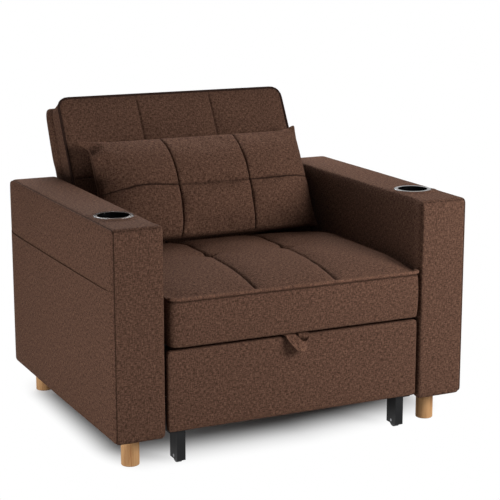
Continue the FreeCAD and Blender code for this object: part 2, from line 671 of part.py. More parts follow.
# Back: front cushion, rear shell and frame, all drawn lying flat on the hinge line
back_end = BACK_TOP + BACK_TOP_OVERHANG
back_limit = corner_trim(back_half, BACK_FOOT, back_end, BACK_FOOT_RADIUS, BACK_TOP_RADIUS)
back_run = BACK_TOP - BACK_FOOT
back_stations = []
back_rise = BACK_CROWN - BACK_EDGE - CROWN_START
for share, draw, rise in BACK_PROFILE:
    back_stations.append((BACK_FOOT + back_run * share, back_half - BACK_DRAW_IN * draw,
                          BACK_EDGE, BACK_EDGE + CROWN_START + back_rise * rise))
back_cushion = boxed_cushion(back_stations, BACK_PARTING, BACK_CORNER, back_limit)
back_ends = (BACK_FOOT + SEAM_MARGIN, BACK_TOP - SEAM_MARGIN)
row_end = back_half - BACK_CORNER - SEAM_MARGIN
back_seams = [seam_channel(back_cushion, (-row_end, BACK_ROW_SEAM), (row_end, BACK_ROW_SEAM), UP)]
for x in (-SEAM_OFFSET, SEAM_OFFSET):
    back_seams.append(seam_channel(back_cushion, (x, back_ends[0]), (x, back_ends[1]), UP))
for seam in back_seams:
    back_cushion = back_cushion.cut(seam)
nodes["back_cushion"] = leaned(back_cushion)

shell_corners = [
    (BACK_FOOT, BACK_PARTING, BACK_PARTING_RADIUS),
    (BACK_TOP, BACK_PARTING, BACK_PARTING_RADIUS),
    (back_end, BACK_REAR_TOP, BACK_REAR_RADIUS),
    (BACK_REAR_BREAK, BACK_REAR_LOW, BACK_REAR_RADIUS),
    (BACK_FOOT, BACK_REAR_LOW, BACK_REAR_RADIUS),
]
back_shell = rounded_face(shell_corners, in_yz(-back_half)).extrude(ACROSS * 2 * back_half)
back_shell = back_shell.common(back_limit)
stile_x = back_half - BACK_WALL
rail_x = stile_x - BACK_STILE
frame_low = BACK_PARTING - BACK_FRAME_DEPTH
frame_foot = BACK_FOOT + BACK_FRAME_MARGIN
frame_head = BACK_TOP - BACK_FRAME_MARGIN
frame_middle = (frame_foot + frame_head - BACK_FRAME_BAR) / 2
back_shell = back_shell.cut(box(-stile_x, stile_x, frame_foot, frame_head, frame_low, BACK_PARTING))
stile = box(-stile_x, -rail_x, frame_foot, frame_head, frame_low, BACK_PARTING)
arm_tip = (HINGE_ARM_LENGTH, BACK_PARTING - BACK_FRAME_DEPTH / 2)
hinge_arm = bar_face(-back_half - HINGE_ARM, (0, 0), arm_tip, HINGE_ARM_ROOT, HINGE_ARM_TIP)
hinge_arm = hinge_arm.extrude(ACROSS * HINGE_ARM)
arm_bore = FreeCAD.Vector(-back_half - 2 * HINGE_ARM, 0, 0)
hinge_arm = hinge_arm.cut(rod(arm_bore, HINGE_PIN_RADIUS + RUNNING_GAP, 3 * HINGE_ARM, ACROSS))
arm_bolts = []
for y in (arm_tip[0] - HINGE_BOLT_PITCH, arm_tip[0]):
    head_x = -back_half - HINGE_ARM - HINGE_BOLT_HEAD_HEIGHT
    start = FreeCAD.Vector(head_x, y, arm_tip[1])
    arm_bolts.append(bolt(start, ACROSS, HINGE_BOLT_RADIUS, HINGE_ARM + HINGE_BOLT_LENGTH,
                          HINGE_BOLT_HEAD, HINGE_BOLT_HEAD_HEIGHT))
hinge_arm = without(hinge_arm, arm_bolts)
stile = without(stile, arm_bolts)
both_arm_bolts = arm_bolts + [mirrored(item) for item in arm_bolts]
back_shell = without(back_shell, both_arm_bolts)
rails = [box(-rail_x, rail_x, y, y + BACK_FRAME_BAR, frame_low, BACK_PARTING)
         for y in (frame_foot, frame_middle, frame_head - BACK_FRAME_BAR)]
nodes["back_shell"] = leaned(back_shell)
nodes["back_frame"] = leaned(Part.makeCompound([stile, mirrored(stile)] + rails))
nodes["left_hinge_arm"] = leaned(hinge_arm)
nodes["right_hinge_arm"] = leaned(mirrored(hinge_arm))
nodes["hinge_arm_bolts"] = leaned(Part.makeCompound(both_arm_bolts))

# Pillow, drawn lying on the flat back
pillow_middle = BACK_CROWN + PILLOW_GAP + PILLOW_REAR_SWELL
pillow_run = PILLOW_TOP - PILLOW_FOOT
pillow_wires = []
for share, draw, front_rise, rear_rise in PILLOW_PROFILE:
    y = PILLOW_FOOT + pillow_run * share
    half = pillow_half - PILLOW_DRAW_IN * draw
    pillow_wires.append(pillow_section(y, half, pillow_middle, PILLOW_FRONT_SWELL * front_rise,
                                       PILLOW_REAR_SWELL * rear_rise, PILLOW_EDGE, PILLOW_SHOULDER))
pillow = Part.makeLoft(pillow_wires, True, False)
pillow_row = (PILLOW_FOOT + PILLOW_TOP) / 2
pillow_row_end = pillow_half - PILLOW_DRAW_IN - SEAM_MARGIN
pillow_ends = (PILLOW_FOOT + SEAM_MARGIN, PILLOW_TOP - SEAM_MARGIN)
pillow_seams = []
for up in (UP, -UP):
    pillow_seams.append(seam_channel(pillow, (-pillow_row_end, pillow_row), (pillow_row_end, pillow_row), up))
    for x in (-PILLOW_SEAM_OFFSET, PILLOW_SEAM_OFFSET):
        pillow_seams.append(seam_channel(pillow, (x, pillow_ends[0]), (x, pillow_ends[1]), up))
for seam in pillow_seams:
    pillow = pillow.cut(seam)
nodes["back_pillow"] = leaned(pillow)

# Front panel of the pull-out: padded cover round a board, and its pull tab
panel_corners = [
    (-seat_half, PANEL_BOTTOM, PANEL_RADIUS),
    (seat_half, PANEL_BOTTOM, PANEL_RADIUS),
    (seat_half, panel_top, PANEL_RADIUS),
    (-seat_half, panel_top, PANEL_RADIUS),
]
panel_depth = PANEL_REAR - PANEL_FRONT
panel_cover = rounded_face(panel_corners, in_xz(at(PANEL_FRONT))).extrude(ALONG * panel_depth)
panel_cover = filleted(panel_cover, PANEL_FRONT_ROUND,
                       lambda edge: edge.BoundBox.YMax < at(PANEL_FRONT) + RUNNING_GAP)
panel_board = box(PANEL_PADDING - seat_half, seat_half - PANEL_PADDING, at(PANEL_FRONT + PANEL_PADDING),
                  at(PANEL_REAR), PANEL_BOTTOM + PANEL_PADDING, panel_top - PANEL_PADDING)
nodes["front_panel_cover"] = panel_cover.cut(panel_board)
nodes["front_panel_board"] = panel_board
tab_low = panel_top - TAB_DROP
tab_high = panel_top + TAB_THICKNESS
tab_corners = [
    (TAB_TIP_SHIFT - TAB_TIP_HALF_WIDTH, tab_low, TAB_RADIUS),
    (TAB_TIP_SHIFT + TAB_TIP_HALF_WIDTH, tab_low, TAB_RADIUS),
    (TAB_HALF_WIDTH, tab_high, TAB_FOLD_RADIUS),
    (-TAB_HALF_WIDTH, tab_high, TAB_FOLD_RADIUS),
]
tab_hang = rounded_face(tab_corners, in_xz(at(PANEL_FRONT - TAB_THICKNESS))).extrude(ALONG * TAB_THICKNESS)
tab_fold = box(-TAB_HALF_WIDTH, TAB_HALF_WIDTH, at(PANEL_FRONT), at(PANEL_REAR), panel_top, tab_high)
tab_bead = rod(FreeCAD.Vector(TAB_TIP_SHIFT - TAB_TIP_HALF_WIDTH + TAB_RADIUS,
                              at(PANEL_FRONT - TAB_THICKNESS), tab_low + TAB_RADIUS),
               TAB_PROUD, 2 * (TAB_TIP_HALF_WIDTH - TAB_RADIUS), ACROSS)
pull_tab = tab_hang.fuse([tab_fold, tab_bead]).removeSplitter().cut(panel_cover)
nodes["pull_tab"] = pull_tab

# Posts, rails and cross bars of the pull-out
rail_outer = arm_inner - GUIDE_SPACE
post_outer = rail_outer - RAIL_WIDTH
post_inner = post_outer - POST_WIDTH
post_top = PAD_BOTTOM - POST_PAD_GAP
post_y0 = at(PANEL_REAR)
post_y1 = at(PANEL_REAR + POST_LENGTH)
post = box(-post_outer, -post_inner, post_y0, post_y1, POST_BOTTOM, post_top)
post = post.cut(box(POST_WALL - post_outer, -post_inner - POST_WALL, post_y0 + POST_WALL,
                    post_y1 - POST_WALL, 0, post_top - POST_WALL))
front_axle_y = (post_y0 + post_y1) / 2
front_axle_start = FreeCAD.Vector(-post_outer, front_axle_y, FRONT_ROLLER_RADIUS)
front_axle = rod(front_axle_start, AXLE_RADIUS, POST_WIDTH, ACROSS)
post = post.cut(front_axle)
rail_top = RAIL_BOTTOM + RAIL_HEIGHT
rail = box(-rail_outer, -post_outer, post_y0, at(rail_rear_depth), RAIL_BOTTOM, rail_top)
rail = rail.cut(box(RAIL_WALL - rail_outer, -post_outer - RAIL_WALL, post_y0 - RAIL_WALL,
                    at(rail_rear_depth) + RAIL_WALL, RAIL_BOTTOM + RAIL_WALL, rail_top - RAIL_WALL))
link_low = rail_top + LINK_RAIL_RISE
link_high = PAD_BOTTOM - LINK_PAD_DROP
pad_rear_depth = rail_rear_depth - PAD_REAR_GAP
link_run = (pad_rear_depth - LINK_REAR_INSET - LINK_FRONT_DEPTH - LINK_END_GAP) / 2
link_y = {"front": at(LINK_FRONT_DEPTH), "rear": at(LINK_FRONT_DEPTH + link_run + LINK_END_GAP)}
lugs = []
for y in link_y.values():
    lug = bar_face(-post_outer - LINK_THICKNESS, (y, rail_top - LINK_RADIUS - RAIL_WALL), (y, link_low),
                   LINK_RADIUS, LINK_RADIUS)
    lug = lug.extrude(ACROSS * LINK_THICKNESS)
    lugs.append(lug.cut(box(-rail_outer, 0, at(0), at(ARM_LENGTH), 0, rail_top)))
shoe_y0 = at(rail_rear_depth - SHOE_LENGTH)
shoe_y1 = at(rail_rear_depth)
shoe_z0 = RUNNER_BOTTOM + RUNNER_FLANGE + SHOE_GAP
shoe_z1 = RUNNER_BOTTOM + RUNNER_HEIGHT - RUNNER_FLANGE - SHOE_GAP
shoe_bracket = box(-rail_outer - SHOE_BRACKET, -rail_outer, shoe_y0, shoe_y1, SHOE_BRACKET_BOTTOM, shoe_z1)
shoe = box(RUNNER_WEB + SHOE_GAP - arm_inner, -rail_outer - SHOE_BRACKET, shoe_y0, shoe_y1, shoe_z0, shoe_z1)
nodes["slide_shoes"] = Part.makeCompound([shoe, mirrored(shoe)])
front_bar_y = (post_y0 + post_y1 - CROSS_BAR_LENGTH) / 2
rear_bar_y = at(rail_rear_depth - CROSS_BAR_INSET)
front_bar = box(-post_inner, post_inner, front_bar_y, front_bar_y + CROSS_BAR_LENGTH, RAIL_BOTTOM, rail_top)
rear_bar = box(-post_outer, post_outer, rear_bar_y, rear_bar_y + CROSS_BAR_LENGTH, RAIL_BOTTOM, rail_top)
nodes["cross_bars"] = Part.makeCompound([front_bar, rear_bar])

# Links of the pad and their pins
link_pins = []
pad_lugs = []
for end, y in link_y.items():
    link = bar_face(-post_outer, (y, link_low), (y + link_run, link_high), LINK_RADIUS, LINK_RADIUS)
    link = link.extrude(ACROSS * LINK_THICKNESS)
    pins = []
    for pin_y, pin_z in ((y, link_low), (y + link_run, link_high)):
        start = FreeCAD.Vector(LINK_THICKNESS + LINK_PIN_HEAD_HEIGHT - post_outer, pin_y, pin_z)
        pins.append(bolt(start, -ACROSS, LINK_PIN_RADIUS, 2 * LINK_THICKNESS, LINK_PIN_HEAD,
                         LINK_PIN_HEAD_HEIGHT))
    link = without(link, pins)
    nodes["left_" + end + "_link"] = link
    nodes["right_" + end + "_link"] = mirrored(link)
    link_pins = link_pins + pins
    pad_lug = bar_face(-post_outer - LINK_THICKNESS, (y + link_run, link_high),
                       (y + link_run, PAD_BOTTOM + LINK_RADIUS), LINK_RADIUS, LINK_RADIUS)
    pad_lug = pad_lug.extrude(ACROSS * LINK_THICKNESS)
    pad_lug = pad_lug.cut(box(-rail_outer, 0, at(0), at(ARM_LENGTH), PAD_BOTTOM, ARM_TOP))
    pad_lugs.append(without(pad_lug, pins))
rail = rail.fuse(lugs + [shoe_bracket]).removeSplitter()
rail = without(rail, link_pins)
nodes["link_pins"] = Part.makeCompound(link_pins + [mirrored(item) for item in link_pins])

# Rollers, forks and axles
rear_axle_y = at(rail_rear_depth - REAR_ROLLER_INSET)
fork_top = box(-rail_outer, -post_outer, rear_axle_y - FORK_TOP_LENGTH / 2, rear_axle_y + FORK_TOP_LENGTH / 2,
               RAIL_BOTTOM - FORK_WALL, RAIL_BOTTOM)
fork_walls = [box(x, x + FORK_WALL, rear_axle_y - FORK_LENGTH / 2, rear_axle_y + FORK_LENGTH / 2,
                  FORK_BOTTOM, RAIL_BOTTOM - FORK_WALL)
              for x in (-rail_outer, -post_outer - FORK_WALL)]
rear_axle = rod(FreeCAD.Vector(-rail_outer, rear_axle_y, REAR_ROLLER_RADIUS), AXLE_RADIUS, RAIL_WIDTH, ACROSS)
fork = fork_top.fuse(fork_walls).removeSplitter().cut(rear_axle)


def roller(middle, radius, width):
    """Roller with rounded tread edges and a running bore."""
    wheel = rod(middle - ACROSS * (width / 2), radius, width, ACROSS)
    wheel = filleted(wheel, ROLLER_ROUND, lambda edge: edge.BoundBox.XLength < RUNNING_GAP)
    return wheel.cut(rod(middle - ACROSS * width, AXLE_RADIUS + RUNNING_GAP, 2 * width, ACROSS))


front_middle = FreeCAD.Vector(-(post_inner + post_outer) / 2, front_axle_y, FRONT_ROLLER_RADIUS)
rear_middle = FreeCAD.Vector(-(post_outer + rail_outer) / 2, rear_axle_y, REAR_ROLLER_RADIUS)
front_roller = roller(front_middle, FRONT_ROLLER_RADIUS, FRONT_ROLLER_WIDTH)
rear_roller = roller(rear_middle, REAR_ROLLER_RADIUS, REAR_ROLLER_WIDTH)
nodes["roller_forks"] = Part.makeCompound([fork, mirrored(fork)])
nodes["roller_axles"] = Part.makeCompound([front_axle, mirrored(front_axle), rear_axle, mirrored(rear_axle)])
for name, shape in (("front_post", post), ("base_rail", rail),
                    ("front_roller", front_roller), ("rear_roller", rear_roller)):
    nodes["left_" + name] = shape
    nodes["right_" + name] = mirrored(shape)

# Guide runners on the arms
runner_top = RUNNER_BOTTOM + RUNNER_HEIGHT
runner_end = at(board_front_depth - RUNNER_END_GAP)
runner = box(-arm_inner, RUNNER_REACH - arm_inner, at(RUNNER_START), runner_end, RUNNER_BOTTOM, runner_top)
runner = runner.cut(box(RUNNER_WEB - arm_inner, 0, at(RUNNER_START), runner_end,
                        RUNNER_BOTTOM + RUNNER_FLANGE, runner_top - RUNNER_FLANGE))
nodes["left_runner"] = runner
nodes["right_runner"] = mirrored(runner)

# Pad of the pull-out: frame with board, and cushion
pad_y0 = at(PAD_FRONT)
pad_y1 = at(pad_rear_depth)
pad_length = pad_y1 - pad_y0
pad_x = pad_half - PAD_FRAME_INSET
pad_bar_x = pad_x - PAD_BAR_WIDTH
pad_in0 = pad_y0 + PAD_FRAME_INSET
pad_in1 = pad_y1 - PAD_FRAME_INSET
pad_bar_top = PAD_BOTTOM + PAD_BAR_HEIGHT
pad_bars = [
    box(-pad_x, pad_x, pad_in0, pad_in0 + PAD_BAR_WIDTH, PAD_BOTTOM, pad_bar_top),
    box(-pad_x, pad_x, pad_in1 - PAD_BAR_WIDTH, pad_in1, PAD_BOTTOM, pad_bar_top),
    box(-pad_x, -pad_bar_x, pad_in0 + PAD_BAR_WIDTH, pad_in1 - PAD_BAR_WIDTH, PAD_BOTTOM, pad_bar_top),
    box(pad_bar_x, pad_x, pad_in0 + PAD_BAR_WIDTH, pad_in1 - PAD_BAR_WIDTH, PAD_BOTTOM, pad_bar_top),
]
both_pad_lugs = pad_lugs + [mirrored(item) for item in pad_lugs]
nodes["pad_frame"] = Part.makeCompound(pad_bars + both_pad_lugs)
nodes["pad_board"] = box(-pad_x, pad_x, pad_in0, pad_in1, pad_bar_top, pad_bar_top + PAD_BOARD)
pad_stations = []
pad_edge = pad_top - PAD_CROWN_RISE
for share, draw, rise in PAD_PROFILE:
    pad_stations.append((pad_y0 + pad_length * share, pad_half - PAD_DRAW_IN * draw, pad_edge,
                         pad_edge + CROWN_START + (PAD_CROWN_RISE - CROWN_START) * rise))
pad_limit = corner_trim(pad_half, pad_y0, pad_y1, SEAT_PLAN_RADIUS, SEAT_PLAN_RADIUS)
pad_cushion = boxed_cushion(pad_stations, PAD_BOTTOM, SEAT_CORNER, pad_limit)
pad_cushion = pad_cushion.cut(box(-pad_x, pad_x, pad_in0, pad_in1, 0, pad_bar_top + PAD_BOARD))
pad_seams = []
for x in (-SEAM_OFFSET, SEAM_OFFSET):
    pad_seams.append(seam_channel(pad_cushion, (x, pad_y0 + SEAM_MARGIN), (x, pad_y1 - SEAM_MARGIN), UP))
    for share in PAD_TUFT_SHARES:
        pad_seams.append(tuft(pad_cushion, x, pad_y0 + pad_length * share))
for seam in pad_seams:
    pad_cushion = pad_cushion.cut(seam)
nodes["pad_cushion"] = pad_cushion

os.makedirs("parts", exist_ok=True)
for name, shape in nodes.items():
    shape.exportStep("parts/" + name + ".step")
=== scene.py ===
import bmesh
import bpy
import json
import math
import numpy as np
from bpy.props import FloatProperty, FloatVectorProperty, PointerProperty
from bpy.types import NodeSocket, Operator, Panel, PropertyGroup
from mathutils import Matrix, Vector, noise


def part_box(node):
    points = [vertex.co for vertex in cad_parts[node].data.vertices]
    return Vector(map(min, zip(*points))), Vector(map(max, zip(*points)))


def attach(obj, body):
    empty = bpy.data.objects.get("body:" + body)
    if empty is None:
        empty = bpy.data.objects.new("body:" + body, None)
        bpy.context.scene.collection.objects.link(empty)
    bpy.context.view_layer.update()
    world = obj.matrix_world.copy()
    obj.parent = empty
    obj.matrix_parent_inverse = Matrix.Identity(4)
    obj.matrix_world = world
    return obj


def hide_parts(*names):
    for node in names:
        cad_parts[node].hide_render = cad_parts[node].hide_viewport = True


bl_info = {
    "name": "Sleeper armchair",
    "version": (1, 0, 0),
    "blender": (4, 5, 0),
    "location": "3D View > Sidebar > Sleeper armchair",
    "description": "Covers, cushions, finishes and stage of a convertible sleeper armchair",
    "category": "Object",
}

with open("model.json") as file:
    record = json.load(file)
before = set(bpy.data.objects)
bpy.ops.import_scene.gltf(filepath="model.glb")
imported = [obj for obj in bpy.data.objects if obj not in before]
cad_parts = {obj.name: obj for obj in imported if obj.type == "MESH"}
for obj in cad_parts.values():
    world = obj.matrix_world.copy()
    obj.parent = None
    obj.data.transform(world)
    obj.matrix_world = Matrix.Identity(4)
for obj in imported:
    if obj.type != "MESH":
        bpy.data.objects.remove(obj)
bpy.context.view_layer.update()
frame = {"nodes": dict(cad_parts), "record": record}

# The row frame is in metres: X across the chair, the front faces -Y, Z is up.
RECLINE = next(j for j in frame["record"]["behaviour"]["joints"] if j["name"] == "back_recline")

# Distances of the closer grid lines next to a stitched channel and next to a plain edge
NEAR_SEAM = (0.0028, 0.008)
NEAR_EDGE = (0.004, 0.010)


# Sizes and colours that a user may change

def number(name, description, default, **kind):
    """Property of a number that is not negative."""
    return FloatProperty(name=name, description=description, default=default, min=0.0, **kind)


def length(name, description, default):
    """Property of a length in metres."""
    return number(name, description, default, unit="LENGTH")


def share(name, description, default):
    """Property of a share from 0 to 1."""
    return number(name, description, default, max=1.0, subtype="FACTOR")


def spot(name, description, default):
    """Property of a point, or of distances along the axes, in metres."""
    return FloatVectorProperty(name=name, description=description, default=default, size=3, subtype="XYZ",
                               unit="LENGTH", precision=4)


def colour(name, description, default):
    """Property of a colour as it is seen, in sRGB."""
    return FloatVectorProperty(name=name, description=description, default=default, min=0.0, max=1.0, size=3,
                               subtype="COLOR_GAMMA")


class FabricSettings(PropertyGroup):
    """Woven brown upholstery."""
    light: colour("Light yarn", "Palest yarn of the weave", (0.500, 0.372, 0.311))
    middle: colour("Middle yarn", "Most common yarn of the weave", (0.338, 0.245, 0.199))
    dark: colour("Dark yarn", "Darkest yarn of the weave", (0.160, 0.105, 0.080))
    # Seam shade: colour of seam lines, also used as painted shade in seam grooves, creases and folds.
    seam: colour("Seam shade", "Fabric drawn in at a sewn seam", (0.10, 0.066, 0.055))
    piping: colour("Piping", "Piping round the front of the back", (0.20, 0.142, 0.122))
    # Welt paleness is a painted highlight: the welt and the strap are made paler than the fabric for the
    # light they catch.
    welt: number("Welt paleness", "Paleness of the seat's welt and the strap over the fabric", 1.14)
    # Pillow paleness is painted light: the pillow's fabric is made paler for light on its front.
    pillow: number("Pillow paleness", "Paleness of the pillow over the fabric", 1.05)
    yarn: length("Yarn pitch", "Distance between two yarns", 0.0014)
    slub: length("Slub length", "Length of a pale or dark stretch of yarn", 0.009)


class PaddingSettings(PropertyGroup):
    """Seams, welts and fullness of the padded pieces."""
    seam_offset: length("Seam offset", "Middle of the chair to a stitched channel", 0.114)
    seat_welt: length("Seat welt height", "Floor to the front welt of the seat", 0.426)
    seat_edge_rise: length("Seat edge rise", "Rise of the seat's side edges over its front welt", 0.016)
    seat_crown: length("Seat crown", "Rise of the seat's middle over its front welt", 0.033)
    seam_depth: length("Seam depth", "How far a channel is drawn in", 0.010)
    tuft_depth: length("Tuft depth", "How far a tuft is drawn in below its channel", 0.010)
    tuft_place: length("Tuft place", "Front of the seat to its tufts", 0.306)
    seat_corner: length("Seat corner", "Radius of the seat's left front corner, seen from above", 0.021)
    welt: length("Welt radius", "Radius of the seat's welt", 0.0043)
    arm_swell: length("Arm swell", "How far the padding of an arm's outer side stands out", 0.0042)
    arm_rear_swell: length("Arm rear swell", "How much further it stands out at the rear", 0.0035)
    arm_inner_swell: length("Arm inner swell", "How far an arm swells inward next to its front", 0.0045)
    arm_crown: length("Arm crown", "How far the padding swells over an arm's top", 0.0020)
    arm_hem: length("Arm hem", "How far an arm's hem hangs down", 0.0050)
    piping: length("Piping radius", "Radius of the piping of the back", 0.0038)
    pillow_shift: length("Pillow shift", "How far the loose pillow sits off the middle", 0.007)
    pressure: number("Filling pressure", "Pressure of the filling on its cover", 4.0)


class FinishSettings(PropertyGroup):
    """Wood, steel and plastic finishes."""
    leg_wood: colour("Leg wood", "Lacquered wood of the legs", (0.715, 0.546, 0.367))
    leg_grain: colour("Leg grain", "Grain lines of the leg wood", (0.60, 0.41, 0.24))
    frame_wood: colour("Frame wood", "Raw plywood of the hidden frames", (0.78, 0.65, 0.48))
    webbing: colour("Webbing", "Elastic seat webbing", (0.16, 0.15, 0.14))
    black_steel: colour("Black steel", "Powder coated steel", (0.045, 0.046, 0.050))
    plain_steel: colour("Plain steel", "Zinc plated steel", (0.62, 0.62, 0.63))
    cup_liner: colour("Cup liner", "Gloss black wells of the cup holders", (0.02, 0.02, 0.022))
    cup_rim: colour("Cup rim", "Polished rims of the cup holders", (0.17, 0.16, 0.155))
    roller: colour("Rollers", "Black nylon of rollers and slide shoes", (0.09, 0.09, 0.092))


class StageSettings(PropertyGroup):
    """Camera, floor and light."""
    camera_place: spot("Camera place", "Where the camera stands", (-1.69795, -3.71496, 1.33132))
    camera_aim: spot("Camera aim", "Point in the middle of the picture", (0.05923, -0.04941, 0.43276))
    focal: number("Focal length", "Focal length for a 36 mm sensor, in mm", 109.09)
    ambient: number("Ambient light", "Strength of the light from all round", 0.11)
    key: number("Key light", "Power of the panel at the front right, in W", 71.0)
    top: number("Top light", "Power of the panel high behind the chair, in W", 110.0)
    side: number("Side light", "Power of the low panel on the left, in W", 25.5)
    # Floor paint and the shadow corners, fades, turn and slant paint the chair's shadow: grey paint under the
    # chair, fading to white glow along a given outline.
    floor: share("Floor paint", "Brightness of the floor in the shadow of the chair", 0.55)
    shadow_low: spot("Shadow corner", "Front left corner from which the shadow fades", (-0.396, -0.228, 0.0))
    shadow_high: spot("Far shadow corner", "Rear right corner from which the shadow fades",
                      (0.45, 0.235, 0.0))
    fade_low: spot("Shadow fade", "Distances of the fade to the left and the front", (0.105, 0.23, 1.0))
    fade_high: spot("Far shadow fade", "Distances of the fade to the right and the rear", (0.12, 0.23, 1.0))
    shadow_turn: length("Shadow turn", "Where the shadow's front edge starts to draw back to the right", 0.06)
    shadow_slant: share("Shadow slant", "How fast the shadow's front edge draws back there", 0.19)


# Grids and sewn covers

def grid_lines(low, high, pitch, close, marks=()):
    """Lines from low to high about a pitch apart, with more lines close to both ends and to each mark."""
    stops = {low, high}
    for mark in (low, *marks, high):
        for step in (0.0, *close):
            stops.update(stop for stop in (mark - step, mark + step) if low < stop < high)
    stops = sorted(stops)
    found = [low]
    for start, end in zip(stops, stops[1:]):
        count = max(1, math.ceil((end - start) / pitch))
        found += [start + (end - start) * (k + 1) / count for k in range(count)]
    return np.array(found)


def round_corners(plan, radii):
    """Plan points of a rectangle with its corners (low-low, high-low, high-high, low-high) rounded."""
    u, v = plan[..., 0], plan[..., 1]
    ends = ((u.min(), v.min()), (u.max(), v.min()), (u.max(), v.max()), (u.min(), v.max()))
    signs = ((-1, -1), (1, -1), (1, 1), (-1, 1))
    for (end_u, end_v), (sign_u, sign_v), radius in zip(ends, signs, radii):
        centre_u, centre_v = end_u - sign_u * radius, end_v - sign_v * radius
        a, b = (u - centre_u) * sign_u, (v - centre_v) * sign_v
        zone = (a > 0) & (b > 0)
        scale = np.where(zone, np.maximum(a, b) / np.maximum(np.hypot(a, b), 1e-9), 1.0)
        u = np.where(zone, centre_u + sign_u * a * scale, u)
        v = np.where(zone, centre_v + sign_v * b * scale, v)
    return np.stack([u, v], -1)


def smooth_step(value):
    """Smooth ramp from 0 to 1."""
    t = np.clip(value, 0.0, 1.0)
    return t * t * (3 - 2 * t)


def bell(value, width):
    """Smooth hump of height 1 about 0."""
    return np.exp(-(value / width) ** 2)


def ripples(points, size, seed):
    """Smooth noise from -1 to 1 at each point, with features of a given size."""
    shift = Vector((seed * 7.31, seed * 3.17, seed * 5.53))
    return np.array([noise.noise(Vector(p) / size + shift) for p in points])


def round_the_edge(grid):
    """Edge entries of a grid, in order round it."""
    return np.concatenate([grid[:-1, 0], grid[-1, :-1], grid[:0:-1, -1], grid[0, :0:-1]])


def edge_line(us, vs, radii):
    """Plan points round the edge of a grid with rounded corners."""
    return round_the_edge(round_corners(np.stack(np.meshgrid(us, vs, indexing="ij"), -1), radii))


def edge_outward(line):
    """Unit steps outward at the points of a closed edge line."""
    along = np.roll(line, -1, 0) - np.roll(line, 1, 0)
    along /= np.linalg.norm(along, axis=1)[:, None]
    return np.stack([along[:, 1], -along[:, 0]], -1)


def from_edge(plan, low_u, high_u, low_v, high_v):
    """Distance of plan points from the nearest side of a rectangle."""
    u, v = plan[..., 0], plan[..., 1]
    return np.minimum(np.minimum(u - low_u, high_u - u), np.minimum(v - low_v, high_v - v))


def level(height):
    """Height of a flat panel, for each of its plan points."""
    return lambda plan: np.full(len(plan), height)


def new_piece(name, points, faces, cloth, seam):
    """Smooth mesh object with fabric coordinates at its corners and, at its points, how far the seam colour
    darkens them: seam lines with painted shade of their grooves, and painted shade in creases.
    """
    mesh = bpy.data.meshes.new(name)
    mesh.from_pydata(points, [], faces)
    mesh.uv_layers.new(name="cloth").data.foreach_set("uv", np.ascontiguousarray(cloth).ravel())
    mesh.attributes.new("seam", "FLOAT", "POINT").data.foreach_set("value", np.asarray(seam, np.float32))
    mesh.polygons.foreach_set("use_smooth", np.ones(len(mesh.polygons), bool))
    mesh.update()
    obj = bpy.data.objects.new(name, mesh)
    bpy.context.scene.collection.objects.link(obj)
    return obj


